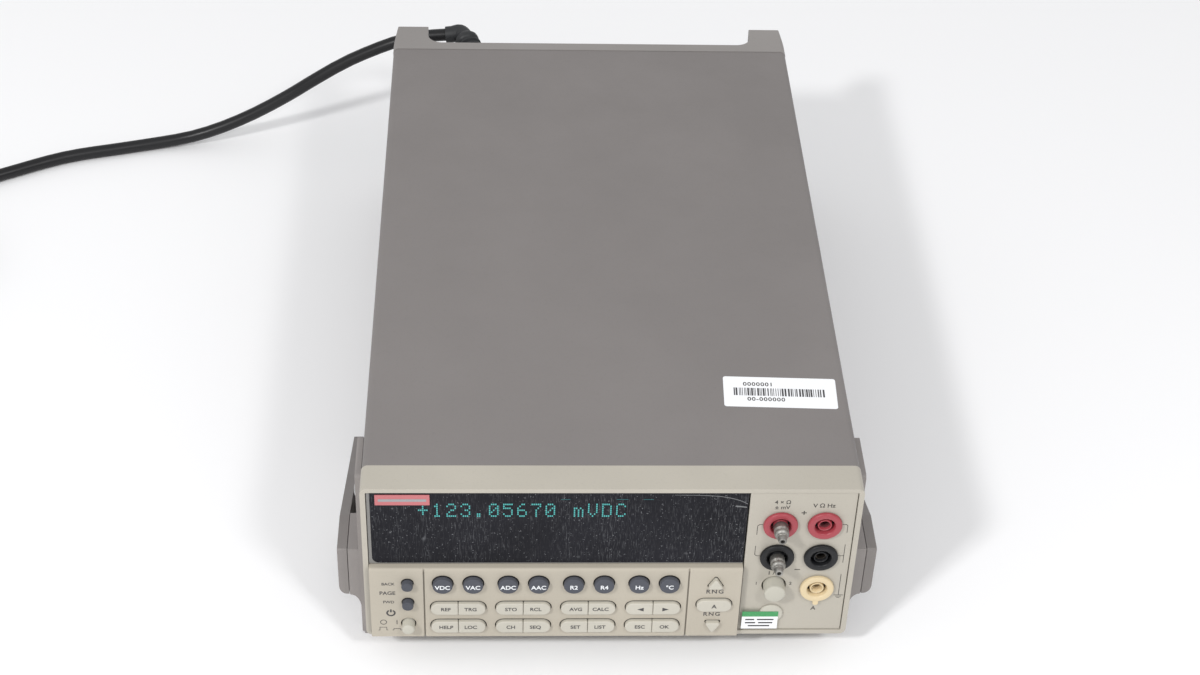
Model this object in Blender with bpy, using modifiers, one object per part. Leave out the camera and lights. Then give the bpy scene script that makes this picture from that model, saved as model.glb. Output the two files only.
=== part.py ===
"""Bench multimeter: a half-rack case with a swinging handle, test jacks, travelling keys and a mains cord.

Sizes are in millimetres in the case's own frame: X to the right, Y back from the bezel's front rim
and Z up from the case's underside. world() turns them into metres about the row's origin, which is
on the standing surface under the middle of the instrument.
"""

import math

import bmesh
import bpy
from mathutils import Matrix, Vector

MM = 0.001
GAP = 0.3

CASE_WIDTH = 213.0
CASE_HEIGHT = 88.0
CASE_LENGTH = 370.0
FOOT_HEIGHT = 15.0
FRONT_REACH = 10.0
HALF = CASE_WIDTH / 2
ORIGIN_Y = (CASE_LENGTH - FRONT_REACH) / 2

BEZEL_DEPTH = 14.8
RIM_INSIDE = 104.2
RIM_LOW = 2.2
RIM_HIGH = 85.8
LEDGE_Y = 3.0
LEDGE_BACK = 5.2

PANEL_FRONT = -2.5
PANEL_BACK = LEDGE_Y - GAP
PANEL_LEFT = -104.0
PANEL_RIGHT = 57.6
PANEL_LOW = 1.5
PANEL_TOP = 43.6
GROOVES_X = (-80.5, 34.4)
WINDOW_FRONT = 0.6
TERMINAL_FRONT = 0.6

KEY_BACK = 2.5
GROUPS_X = [-65.75 + 28.4 * k for k in range(4)]
FUNCTION_OFFSET = 6.6
FUNCTION_Z = 34.7
FUNCTION_RADIUS = 4.35
SLOT_Z = (19.95, 8.75)
SLOT_WIDTH = 24.5
SLOT_TALL = 7.5
RANGE_X = 46.2
RANGE_SLOT_WIDTH = 16.0
RANGE_Z = (34.6, 21.6, 9.1)
ARROW_SIDE = 7.4
DISPLAY_KEY_X = -87.6
DISPLAY_KEY_Z = (34.8, 23.1)
DISPLAY_KEY_RADIUS = 2.5
POWER_Z = 9.9
POWER_RADIUS = 2.8
POWER_FRONT = -7.0

JACKS_X = (72.15, 91.2)
JACKS_Z = (66.9, 47.85, 28.8)
JACK_RADIUS = 7.45
JACK_BODY = 5.9
JACK_WELL = 4.4
JACK_SLEEVE = 3.1
JACK_BORE = 2.05
JACK_LENGTH = 24.0
PIN_RADIUS = 3.2
INPUTS_Z = 30.2
INPUTS_RADIUS = 4.7
INPUTS_FRONT = -5.4
SEAL_Z = 13.0
SEAL_RADIUS = 5.3

COVER_END = 347.2
SHEET = 1.4
CORNER = 3.0
POST_WIDTH = 18.4
POST_HEIGHT = 17.0
RING_END = 354.0
RING_WALL = 9.5
REAR_TAPER = 1.9

EAR_INSIDE = HALF + GAP
EAR_OUTSIDE = 109.5
EAR_FRONT = 15.0
EAR_BACK = 41.5
EAR_TOP = 81.5
BOSS_OUTSIDE = 114.4
HUB_Y = (16.0, 39.0)
HUB_Z = (8.8, 37.0)
PIVOT = (28.0, 24.0)
PIVOT_RADIUS = 4.0
HANDLE_INSIDE = BOSS_OUTSIDE + GAP
HANDLE_OUTSIDE = 119.0
HANDLE_END = 133.0
HANDLE_LOW = -13.0
BAR_HIGH = -1.5

INLET_X = -62.0
INLET_Z = 58.0
PLUG_NOSE = (23.2, 15.6)

CORD_RADIUS = 3.5
CORD_ROUTE = (
    (-80.0, 405.6, 61.4),
    (-94.0, 405.9, 59.8),
    (-110.0, 406.5, 55.2),
    (-134.5, 407.6, 43.0),
    (-153.3, 407.7, 31.0),
    (-172.4, 407.3, 18.0),
    (-191.4, 406.9, 6.5),
    (-210.2, 406.0, -2.5),
    (-228.7, 404.5, -8.6),
    (-247.3, 401.5, -11.0),
    (-268.0, 396.0, -11.4),
    (-300.6, 386.0, -11.4),
    (-333.0, 368.5, -11.4),
    (-360.0, 353.3, -11.4),
    (-384.0, 340.1, -11.4),
)
COIL_CENTRE = (-385.0, 281.6)
COIL_RADIUS = 40.0
COIL_COLUMNS = 4
COIL_LAYERS = 2
TAIL_START = 29.5
TAIL_END = 62.0
PLUG_HALF_HEIGHT = 10.5

BEIGE = (0.58, 0.53, 0.45)
KEY_BEIGE = (0.63, 0.60, 0.51)
KEY_GREY = (0.09, 0.10, 0.115)
TAUPE = (0.25, 0.225, 0.20)
HANDLE_GREY = (0.27, 0.25, 0.24)
STEEL = (0.55, 0.55, 0.54)
BLACK = (0.02, 0.02, 0.022)


def world(x, y, z):
    """Metres in the row's frame of a point in the case's frame."""
    return Vector((x, y - ORIGIN_Y, z + FOOT_HEIGHT)) * MM


def start():
    """Empty the scene and make the two collections."""
    for old in list(bpy.data.objects):
        bpy.data.objects.remove(old, do_unlink=True)
    for name in ("bench_multimeter", "cutters"):
        group = bpy.data.collections.new(name)
        bpy.context.scene.collection.children.link(group)


def paint(obj, color, roughness=0.5, metallic=0.0):
    """Give an object its own Principled material."""
    made = bpy.data.materials.new(obj.name)
    made.use_nodes = True
    shader = made.node_tree.nodes["Principled BSDF"]
    shader.inputs["Base Color"].default_value = (*color, 1.0)
    shader.inputs["Roughness"].default_value = roughness
    shader.inputs["Metallic"].default_value = metallic
    obj.data.materials.append(made)
    return obj


def place(name, mesh, origin, helper=False):
    """An object for a mesh whose points are in metres about its origin."""
    obj = bpy.data.objects.new(name, mesh)
    obj.location = world(*origin)
    group = bpy.data.collections["cutters" if helper else "bench_multimeter"]
    group.objects.link(obj)
    if helper:
        obj.hide_render = True
        obj.display_type = "WIRE"
    return obj


def from_bmesh(name, bm, origin, helper=False):
    """Scale a bmesh from millimetres, face it outwards and place it."""
    bmesh.ops.recalc_face_normals(bm, faces=bm.faces)
    bmesh.ops.scale(bm, vec=(MM, MM, MM), verts=bm.verts)
    mesh = bpy.data.meshes.new(name)
    bm.to_mesh(mesh)
    bm.free()
    return place(name, mesh, origin, helper)


def rounded(obj, angle=35.0):
    """Shade a round piece smooth, apart from its sharp edges."""
    obj.data.shade_smooth()
    obj.data.set_sharp_from_angle(angle=math.radians(angle))
    return obj


def soften(obj, width, segments=2, angle=50.0):
    """Round the sharp edges."""
    made = obj.modifiers.new("Soften", "BEVEL")
    made.width = width * MM
    made.segments = segments
    made.limit_method = "ANGLE"
    made.angle_limit = math.radians(angle)
    return obj


def combine(obj, operation, tools):
    """Cut obj with each tool, or join each tool to it."""
    for tool in tools:
        made = obj.modifiers.new(tool.name, "BOOLEAN")
        made.operation = operation
        made.solver = "EXACT"
        made.object = tool
    return obj


def cut(obj, *tools):
    return combine(obj, "DIFFERENCE", tools)


def join(obj, *tools):
    return combine(obj, "UNION", tools)


def box(name, low, high, helper=False, origin=None):
    """A box between two corners, with its origin at its middle unless another is given."""
    low, high = Vector(low), Vector(high)
    middle = (low + high) / 2
    origin = Vector(origin) if origin else middle
    bm = bmesh.new()
    bmesh.ops.create_cube(bm, size=1.0)
    bmesh.ops.scale(bm, vec=high - low, verts=bm.verts)
    bmesh.ops.translate(bm, vec=middle - origin, verts=bm.verts)
    return from_bmesh(name, bm, origin, helper)


def arc(x, y, radius, first, last, count):
    """Points on an arc, its angles in degrees."""
    step = (last - first) / count
    turns = [math.radians(first + step * k) for k in range(count + 1)]
    return [(x + radius * math.cos(a), y + radius * math.sin(a)) for a in turns]


def rounded_outline(width, height, radius, count=4):
    """A rectangle about the middle, with round corners."""
    x, y = width / 2 - radius, height / 2 - radius
    points = []
    for k, (sx, sy) in enumerate(((1, 1), (-1, 1), (-1, -1), (1, -1))):
        points += arc(sx * x, sy * y, radius, 90 * k, 90 * k + 90, count)
    return points


def stadium(width, height, count=6):
    """A slot's outline: a rectangle with half-round ends."""
    x, radius = (width - height) / 2, height / 2
    return arc(x, 0, radius, -90, 90, count) + arc(-x, 0, radius, 90, 270, count)


def half_stadium(width, height, side, count=6):
    """One of the two keys that share a slot, on the side -1 or 1."""
    inner = GAP / 2
    x, radius = (width - height) / 2, height / 2
    end = arc(x, 0, radius, -90, 90, count)
    return [(side * px, py) for px, py in [(inner, -radius), *end, (inner, radius)]]


def triangle(side, up, radius=0.9, count=3):
    """An arrow's outline with small round corners, pointing up (1) or down (-1)."""
    reach = side / math.sqrt(3) - 2 * radius
    points = []
    for k in range(3):
        middle = 90 + 120 * k
        a = math.radians(middle)
        corner = (reach * math.cos(a), reach * math.sin(a))
        points += arc(*corner, radius, middle - 60, middle + 60, count)
    return [(px, up * py) for px, py in points]


def plate(name, outline, axis, low, high, origin, helper=False):
    """A flat outline about origin, extruded from low to high along X, Y or Z."""
    curve = bpy.data.curves.new(name, "CURVE")
    curve.dimensions = "2D"
    curve.fill_mode = "BOTH"
    curve.extrude = (high - low) / 2
    spline = curve.splines.new("POLY")
    spline.points.add(len(outline) - 1)
    spline.use_cyclic_u = True
    for point, (px, py) in zip(spline.points, outline):
        point.co = (px, py, 0.0, 1.0)
    middle = (low + high) / 2
    turn = {
        "X": Matrix(((0, 0, 1, middle), (1, 0, 0, 0), (0, 1, 0, 0), (0, 0, 0, 1))),
        "Y": Matrix(((1, 0, 0, 0), (0, 0, 1, middle), (0, 1, 0, 0), (0, 0, 0, 1))),
        "Z": Matrix.Translation((0, 0, middle)),
    }[axis]
    bm = bmesh.new()
    bm.from_mesh(curve_mesh(curve))
    bmesh.ops.transform(bm, matrix=turn, verts=bm.verts)
    bmesh.ops.dissolve_limit(bm, angle_limit=0.01, verts=bm.verts, edges=bm.edges)
    return from_bmesh(name, bm, origin, helper)


def curve_mesh(curve):
    """A closed mesh from a curve, with its caps welded."""
    guide = bpy.data.objects.new(curve.name, curve)
    bpy.context.scene.collection.objects.link(guide)
    graph = bpy.context.evaluated_depsgraph_get()
    mesh = bpy.data.meshes.new_from_object(guide.evaluated_get(graph))
    bpy.data.objects.remove(guide, do_unlink=True)
    bpy.data.curves.remove(curve)
    bm = bmesh.new()
    bm.from_mesh(mesh)
    bmesh.ops.remove_doubles(bm, verts=bm.verts, dist=0.001)
    bm.to_mesh(mesh)
    bm.free()
    return mesh


def tube(name, points, radii, origin, resolution=2, helper=False):
    """A tube through points about origin, with a radius at each."""
    curve = bpy.data.curves.new(name, "CURVE")
    curve.dimensions = "3D"
    curve.bevel_depth = 1.0
    curve.bevel_resolution = resolution
    curve.use_fill_caps = True
    spline = curve.splines.new("POLY")
    spline.points.add(len(points) - 1)
    for point, place_at, radius in zip(spline.points, points, radii):
        point.co = (*place_at, 1.0)
        point.radius = radius
    bm = bmesh.new()
    bm.from_mesh(curve_mesh(curve))
    return rounded(from_bmesh(name, bm, origin, helper), 50.0)


def turned(name, profile, origin, direction, steps=20, helper=False):
    """A turned piece: its profile is (radius, distance along direction), from its far end back."""
    bm = bmesh.new()
    spots = [bm.verts.new((radius * MM, 0, along * MM)) for radius, along in profile]
    for first, second in zip(spots, spots[1:]):
        bm.edges.new((first, second))
    mesh = bpy.data.meshes.new(name)
    bm.to_mesh(mesh)
    bm.free()
    obj = place(name, mesh, origin, helper)
    obj.rotation_mode = "QUATERNION"
    obj.rotation_quaternion = Vector(direction).to_track_quat("Z", "Y")
    spin = obj.modifiers.new("Turn", "SCREW")
    spin.steps = steps
    spin.render_steps = steps
    spin.use_merge_vertices = True
    spin.merge_threshold = 0.00001
    spin.use_smooth_shade = True
    return obj


def smooth_path(points, spacing):
    """Points about spacing apart on a Catmull-Rom curve through the given ones."""
    points = [Vector(p) for p in points]
    ends = [2 * points[0] - points[1], *points, 2 * points[-1] - points[-2]]
    path = [points[0]]
    for a, b, c, d in zip(ends, ends[1:], ends[2:], ends[3:]):
        count = max(1, round((c - b).length / spacing))
        for k in range(1, count + 1):
            t = k / count
            bend = 2 * b + (c - a) * t + (2 * a - 5 * b + 4 * c - d) * t**2
            path.append((bend + (3 * b - a - 3 * c + d) * t**3) / 2)
    return path


def front_bezel():
    """Moulded frame round the front: a rim, and a ledge that the panels sit against."""
    middle = (0, 0, CASE_HEIGHT / 2)
    outline = rounded_outline(CASE_WIDTH, CASE_HEIGHT, CORNER)
    frame = plate("front_bezel", outline, "Y", 0, BEZEL_DEPTH, middle)
    soften(frame, 0.6, 1)
    tall = RIM_HIGH - RIM_LOW
    bay_z = (RIM_HIGH + RIM_LOW) / 2
    front = plate(
        "bezel_front_bay",
        rounded_outline(2 * RIM_INSIDE, tall, 0.6, 2),
        "Y",
        -1,
        LEDGE_Y,
        (0, 0, bay_z),
        helper=True,
    )
    window = box("bezel_opening", (-102.6, LEDGE_Y - 1, 3.6), (102.6, 9, 84.2), helper=True)
    back = box(
        "bezel_back_bay",
        (-RIM_INSIDE, LEDGE_BACK, RIM_LOW),
        (RIM_INSIDE, BEZEL_DEPTH + 1, RIM_HIGH),
        helper=True,
    )
    step = box(
        "bezel_bottom_step",
        (PANEL_LEFT - GAP, -1, PANEL_LOW - GAP),
        (PANEL_RIGHT + GAP, LEDGE_Y, RIM_LOW + 1),
        helper=True,
    )
    cut(frame, front, window, back, step)
    return paint(frame, BEIGE, 0.5)


def key_hole(name, outline, x, z):
    return plate(name, outline, "Y", PANEL_FRONT - 2, PANEL_BACK + 2, (x, 0, z), helper=True)


def round_outline(radius, count=20):
    return arc(0, 0, radius, 0, 360 - 360 / count, count - 1)


def key_panel():
    """The raised panel under the display, with a hole or slot for every key and two grooves."""
    high = PANEL_TOP - GAP
    panel = box("key_panel", (PANEL_LEFT, PANEL_FRONT, PANEL_LOW), (PANEL_RIGHT, PANEL_BACK, high))
    soften(panel, 0.7, 2)
    holes = []
    for g, x in enumerate(GROUPS_X):
        for s, side in enumerate((-1, 1)):
            hole = round_outline(FUNCTION_RADIUS + GAP)
            holes.append(key_hole(f"hole_{g}_{s}", hole, x + side * FUNCTION_OFFSET, FUNCTION_Z))
        for s, z in enumerate(SLOT_Z):
            holes.append(key_hole(f"slot_{g}_{s}", stadium(SLOT_WIDTH, SLOT_TALL), x, z))
    up, auto, down = RANGE_Z
    wide = 2 * GAP
    arrow = ARROW_SIDE + 2 * math.sqrt(3) * GAP
    holes.append(key_hole("hole_up", triangle(arrow, 1), RANGE_X, up))
    holes.append(key_hole("slot_auto", stadium(RANGE_SLOT_WIDTH, SLOT_TALL), RANGE_X, auto))
    holes.append(key_hole("hole_down", triangle(arrow, -1), RANGE_X, down))
    for s, z in enumerate(DISPLAY_KEY_Z):
        hole = round_outline(DISPLAY_KEY_RADIUS + GAP, 16)
        holes.append(key_hole(f"hole_display_{s}", hole, DISPLAY_KEY_X, z))
    power = round_outline(POWER_RADIUS + wide, 16)
    holes.append(key_hole("hole_power", power, DISPLAY_KEY_X, POWER_Z))
    for s, x in enumerate(GROOVES_X):
        low = (x - 0.35, PANEL_FRONT - 1, -1)
        top = (x + 0.35, PANEL_FRONT + 0.7, PANEL_TOP + 1)
        holes.append(box(f"groove_{s}", low, top, helper=True))
    cut(panel, *holes)
    return paint(panel, BEIGE, 0.5)


def display_window():
    """Tinted lens over the readout."""
    width = PANEL_RIGHT - PANEL_LEFT
    low = PANEL_TOP
    high = RIM_HIGH - GAP
    middle = ((PANEL_LEFT + PANEL_RIGHT) / 2, 0, (low + high) / 2)
    outline = rounded_outline(width, high - low, 0.8, 2)
    lens = plate("display_window", outline, "Y", WINDOW_FRONT, PANEL_BACK, middle)
    return paint(lens, (0.03, 0.03, 0.035), 0.25)


def terminal_panel():
    """Recessed panel that carries the jacks, the inputs switch and the calibration seal."""
    low = (PANEL_RIGHT + 2 * GAP, TERMINAL_FRONT, RIM_LOW + GAP)
    high = (RIM_INSIDE - GAP, PANEL_BACK, RIM_HIGH - GAP)
    panel = box("terminal_panel", low, high)
    spots = [(JACKS_X[0], z, JACK_BODY + GAP) for z in JACKS_Z[:2]]
    spots += [(JACKS_X[1], z, JACK_BODY + GAP) for z in JACKS_Z]
    spots.append((JACKS_X[0], INPUTS_Z, INPUTS_RADIUS + 2 * GAP))
    spots.append((JACKS_X[0], SEAL_Z, SEAL_RADIUS - 1.0 + GAP))
    holes = []
    for k, (x, z, radius) in enumerate(spots):
        outline = round_outline(radius)
        holes.append(plate(f"panel_hole_{k}", outline, "Y", -3, 6, (x, 0, z), helper=True))
    cut(panel, *holes)
    return paint(panel, BEIGE, 0.5)


def display_board():
    """Circuit board behind the front, with the readout tube standing on it."""
    board = box("display_board", (-101, 6.4, 4.5), (55, 8.0, 83))
    tube_body = box("readout_tube", (-92, 3.2, 55), (20, 7, 80), helper=True)
    join(board, tube_body)
    return paint(board, (0.03, 0.16, 0.07), 0.6)


def pressed_key(name, outline, x, z, front, color, soft=0.45, back=KEY_BACK):
    """A key cap with its origin on its own axis."""
    key = plate(name, outline, "Y", front, back, (x, 0, z))
    soften(key, soft, 1, 40.0)
    return paint(rounded(key), color, 0.55)


def keys():
    """Every key and push button on the front."""
    names = "dc_volts ac_volts dc_current ac_current two_wire four_wire frequency temperature".split()
    upper = "relative trigger store recall filter math cursor_left cursor_right".split()
    lower = "info local channel scan configure menu exit enter".split()
    for k in range(8):
        x = GROUPS_X[k // 2]
        side = (-1, 1)[k % 2]
        pressed_key(
            f"{names[k]}_key",
            round_outline(FUNCTION_RADIUS),
            x + side * FUNCTION_OFFSET,
            FUNCTION_Z,
            PANEL_FRONT - 2.4,
            KEY_GREY,
        )
        for word, z in ((upper[k], SLOT_Z[0]), (lower[k], SLOT_Z[1])):
            outline = half_stadium(SLOT_WIDTH - 2 * GAP, SLOT_TALL - 2 * GAP, side)
            pressed_key(f"{word}_key", outline, x, z, PANEL_FRONT - 1.7, KEY_BEIGE)
    up, auto, down = RANGE_Z
    outline = stadium(RANGE_SLOT_WIDTH - 2 * GAP, SLOT_TALL - 2 * GAP)
    pressed_key("auto_range_key", outline, RANGE_X, auto, PANEL_FRONT - 1.7, KEY_BEIGE)
    pressed_key("range_up_key", triangle(ARROW_SIDE, 1), RANGE_X, up, PANEL_FRONT - 2.2, KEY_BEIGE)
    pressed_key("range_down_key", triangle(ARROW_SIDE, -1), RANGE_X, down, PANEL_FRONT - 2.2, KEY_BEIGE)
    for word, z in zip(("previous", "next"), DISPLAY_KEY_Z):
        outline = round_outline(DISPLAY_KEY_RADIUS, 16)
        pressed_key(f"{word}_display_key", outline, DISPLAY_KEY_X, z, PANEL_FRONT - 3.1, KEY_GREY)
    power = round_outline(POWER_RADIUS, 16)
    pressed_key("power_button", power, DISPLAY_KEY_X, POWER_Z, POWER_FRONT, KEY_BEIGE, 0.6)
    inputs = round_outline(INPUTS_RADIUS)
    pressed_key("inputs_button", inputs, JACKS_X[0], INPUTS_Z, INPUTS_FRONT, KEY_BEIGE, 0.6, 8.0)


def jack(name, x, z, color):
    """Safety jack: a flange and shroud round a well, with a sleeve and a bore for the probe."""
    flange = 1.5
    profile = (
        (0, -12.0),
        (JACK_BORE, -12.0),
        (JACK_BORE, 0.4),
        (JACK_SLEEVE, 0.4),
        (JACK_SLEEVE, -8.0),
        (JACK_WELL, -8.0),
        (JACK_WELL, flange - 0.4),
        (JACK_WELL + 0.4, flange),
        (JACK_RADIUS - 0.4, flange),
        (JACK_RADIUS, flange - 0.4),
        (JACK_RADIUS, 0.0),
        (JACK_BODY, 0.0),
        (JACK_BODY, -JACK_LENGTH),
        (0, -JACK_LENGTH),
    )
    face = TERMINAL_FRONT - GAP
    return paint(turned(name, profile, (x, face, z), (0, -1, 0)), color, 0.35)


def jacks():
    red = (0.42, 0.05, 0.07)
    left, right = JACKS_X
    high, low, bottom = JACKS_Z
    jack("sense_high_jack", left, high, red)
    jack("sense_low_jack", left, low, BLACK)
    jack("input_high_jack", right, high, red)
    jack("input_low_jack", right, low, BLACK)
    fused = jack("amps_jack", right, bottom, (0.80, 0.66, 0.36))
    tab = box(
        "amps_jack_tab",
        (right - 1.2, TERMINAL_FRONT - GAP - 1.3, bottom - JACK_RADIUS - 1.3),
        (right + 1.2, TERMINAL_FRONT - GAP - 0.1, bottom - JACK_RADIUS + 1.5),
        helper=True,
    )
    join(fused, tab)


def sense_pins():
    """Metal adapters pushed into the two sense jacks, tapered to a socket at the tip."""
    for word, z in (("high", JACKS_Z[0]), ("low", JACKS_Z[1])):
        face = TERMINAL_FRONT - GAP
        reach = FRONT_REACH + face
        profile = (
            (0, reach - 4.0),
            (0.9, reach - 4.0),
            (0.9, reach),
            (1.7, reach),
            (2.1, reach - 2.6),
            (2.9, reach - 3.2),
            (PIN_RADIUS, reach - 4.2),
            (PIN_RADIUS, 0.8),
            (1.7, 0.8),
            (1.7, -9.0),
            (1.1, -9.8),
            (0, -9.8),
        )
        pin = turned(f"sense_{word}_pin", profile, (JACKS_X[0], face, z), (0, -1, 0), 20)
        paint(pin, STEEL, 0.35, 1.0)


def calibration_seal():
    """Round cap that closes the calibration access hole."""
    profile = (
        (0, 0.9),
        (SEAL_RADIUS - 0.5, 0.9),
        (SEAL_RADIUS, 0.4),
        (SEAL_RADIUS, 0.0),
        (SEAL_RADIUS - 1.0, 0.0),
        (SEAL_RADIUS - 1.0, -4.0),
        (0, -4.0),
    )
    face = TERMINAL_FRONT - GAP
    cap = turned("calibration_cap", profile, (JACKS_X[0], face, SEAL_Z), (0, -1, 0))
    paint(cap, KEY_BEIGE, 0.5)


def case_cover():
    """One-piece sheet-metal sleeve."""
    start_y = BEZEL_DEPTH + GAP
    width = CASE_WIDTH - 0.4
    tall = CASE_HEIGHT - 0.4
    middle = (0, 0, CASE_HEIGHT / 2)
    shell = plate("case_cover", rounded_outline(width, tall, CORNER), "Y", start_y, COVER_END, middle)
    inner = rounded_outline(width - 2 * SHEET, tall - 2 * SHEET, CORNER - SHEET, 2)
    hollow = plate("cover_hollow", inner, "Y", start_y - 5, COVER_END + 5, middle, helper=True)
    cut(shell, hollow)
    return paint(shell, TAUPE, 0.5)


def chassis():
    """Folded tray under the boards, with low side walls, board posts and the rear panel."""
    side, floor = 104.0, 2.1
    tray = box("chassis", (-side, 16.0, floor), (side, 345.6, floor + SHEET))
    parts = [box("rear_panel", (-side, 344.2, floor), (side, 345.6, 85.9), helper=True)]
    for k, sign in enumerate((-1, 1)):
        low = (min(sign * side, sign * (side - SHEET)), 16.0, floor)
        high = (max(sign * side, sign * (side - SHEET)), 345.6, 22.0)
        parts.append(box(f"chassis_wall_{k}", low, high, helper=True))
    for k, (x, y) in enumerate(((-88, 40), (88, 40), (-88, 240), (88, 240))):
        parts.append(box(f"board_post_{k}", (x - 4, y - 4, floor), (x + 4, y + 4, 11.7), helper=True))
    join(tray, *parts)
    hole = box(
        "inlet_cutout",
        (INLET_X - 14.2, 340, INLET_Z - 10.8),
        (INLET_X + 14.2, 350, INLET_Z + 10.8),
        helper=True,
    )
    slots = []
    for k in range(8):
        x = 40 + 6 * k
        slots.append(box(f"vent_{k}", (x - 1.2, 340, 46), (x + 1.2, 350, 72), helper=True))
    cut(tray, hole, *slots)
    return paint(tray, STEEL, 0.4, 1.0)


def inside():
    """Main board and mains transformer."""
    board = box("main_board", (-96, 34, 12.0), (96, 252, 13.6))
    paint(board, (0.03, 0.16, 0.07), 0.6)
    core = box("power_transformer", (-92, 266, 3.9), (-36, 312, 45))
    coil = box("transformer_winding", (-86, 258, 10), (-42, 320, 39), helper=True)
    soften(coil, 4.0, 3)
    join(core, coil)
    paint(core, (0.22, 0.20, 0.17), 0.45, 0.6)


def power_inlet():
    """Mains inlet in the rear panel: a flange, a body and a recess that takes the connector."""
    back = 346.0
    flange = box(
        "power_inlet",
        (INLET_X - 16.5, back, INLET_Z - 13.0),
        (INLET_X + 16.5, back + 2.2, INLET_Z + 13.0),
    )
    body = box(
        "inlet_body",
        (INLET_X - 13.9, 322, INLET_Z - 10.5),
        (INLET_X + 13.9, back + 1, INLET_Z + 10.5),
        helper=True,
    )
    join(flange, body)
    width, tall = PLUG_NOSE
    recess = box(
        "inlet_recess",
        (INLET_X - width / 2 - GAP, 330, INLET_Z - tall / 2 - GAP),
        (INLET_X + width / 2 + GAP, back + 6, INLET_Z + tall / 2 + GAP),
        helper=True,
    )
    cut(flange, recess)
    return paint(flange, BLACK, 0.4)


def rear_bezel():
    """Moulded frame round the rear panel, with four corner feet that guard the connectors."""
    front = COVER_END + GAP
    middle = (0, 0, CASE_HEIGHT / 2)
    outline = rounded_outline(CASE_WIDTH, CASE_HEIGHT, CORNER)
    frame = plate("rear_bezel", outline, "Y", front, CASE_LENGTH, middle)
    between_sides = rear_gap(HALF - POST_WIDTH)
    top_gap = plate("rear_top_gap", between_sides, "Z", -5, CASE_HEIGHT + 5, (0, 0, 0), helper=True)
    between_ends = [(y, z) for z, y in rear_gap(CASE_HEIGHT / 2 - POST_HEIGHT)]
    side_gap = plate("rear_side_gap", between_ends, "X", -HALF - 5, HALF + 5, middle, helper=True)
    opening = box(
        "rear_opening",
        (-HALF + RING_WALL, front - 5, RING_WALL - 2),
        (HALF - RING_WALL, CASE_LENGTH + 5, CASE_HEIGHT - RING_WALL + 2),
        helper=True,
    )
    cut(frame, top_gap, side_gap, opening, wedge("rear_taper_left", -1), wedge("rear_taper_right", 1))
    return paint(frame, TAUPE, 0.5)


def rear_gap(reach):
    """The outline of the gap between two rear feet, round in its corners."""
    fillet = 8.0
    return [
        (-reach, CASE_LENGTH + 5),
        *arc(-reach + fillet, RING_END + fillet, fillet, 180, 270, 6),
        *arc(reach - fillet, RING_END + fillet, fillet, 270, 360, 6),
        (reach, CASE_LENGTH + 5),
    ]


def wedge(name, sign):
    """Trims a side of the rear feet so that they narrow towards the back."""
    tool = box(name, (-5, 0, -10), (5, 40, CASE_HEIGHT + 10), helper=True, origin=(0, 0, 0))
    lean = math.atan2(REAR_TAPER, CASE_LENGTH - RING_END)
    tool.location = world(sign * (HALF + 5 / math.cos(lean)), RING_END, 0)
    tool.rotation_euler = (0, 0, sign * lean)
    return tool


def ears():
    """Side plates screwed over the cover, each with the handle's boss and a front foot."""
    boss_top, boss_low = HUB_Z[1], HUB_Z[0]
    flare_wide, flare_tall = 4.4, 8.5
    flare = [
        (EAR_OUTSIDE + flare_wide * (1 + x), boss_low + flare_tall * (z - 1))
        for x, z in arc(0, 0, 1.0, 90, 180, 6)
    ]
    for word, sign in (("left", -1), ("right", 1)):
        mid_y = (EAR_FRONT + EAR_BACK) / 2
        mid_z = (EAR_TOP - FOOT_HEIGHT) / 2
        outline = rounded_outline(EAR_BACK - EAR_FRONT, EAR_TOP + FOOT_HEIGHT, 2.5, 3)
        reach = sorted((sign * EAR_INSIDE, sign * EAR_OUTSIDE))
        ear = plate(f"mounting_ear_{word}", outline, "X", *reach, (0, mid_y, mid_z))
        boss = plate(
            f"boss_{word}",
            [
                (sign * (EAR_OUTSIDE - 1), boss_top),
                (sign * BOSS_OUTSIDE, boss_top),
                (sign * BOSS_OUTSIDE, boss_low + 0.4),
                *[(sign * x, z) for x, z in flare],
                (sign * (EAR_OUTSIDE - 1), boss_low - flare_tall),
            ],
            "Y",
            *HUB_Y,
            (0, 0, 0),
            helper=True,
        )
        inner, outer = sorted((sign * 88.0, sign * (EAR_OUTSIDE - 1)))
        foot = box(
            f"front_foot_{word}",
            (inner, EAR_FRONT, -FOOT_HEIGHT),
            (outer, EAR_BACK, -GAP),
            helper=True,
        )
        soften(foot, 1.0, 2)
        join(ear, boss, foot)
        bore = turned(
            f"pivot_bore_{word}",
            ((0, 10), (PIVOT_RADIUS + 0.4, 10), (PIVOT_RADIUS + 0.4, -4.6), (0, -4.6)),
            (sign * BOSS_OUTSIDE, *PIVOT),
            (sign, 0, 0),
            24,
            helper=True,
        )
        cut(ear, bore)
        paint(ear, HANDLE_GREY, 0.5)


def round_lower_edge(obj, outer_x):
    """Give an arm a large round along its outer lower edge."""
    bm = bmesh.new()
    bm.from_mesh(obj.data)
    low = []
    for edge in bm.edges:
        outside = all(abs(v.co.x - outer_x) < 0.0001 for v in edge.verts)
        if outside and any(face.normal.z < -0.3 for face in edge.link_faces):
            low.append(edge)
    bmesh.ops.bevel(bm, geom=low, offset=3.4 * MM, segments=4, profile=0.5, affect="EDGES")
    bm.to_mesh(obj.data)
    bm.free()


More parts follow.
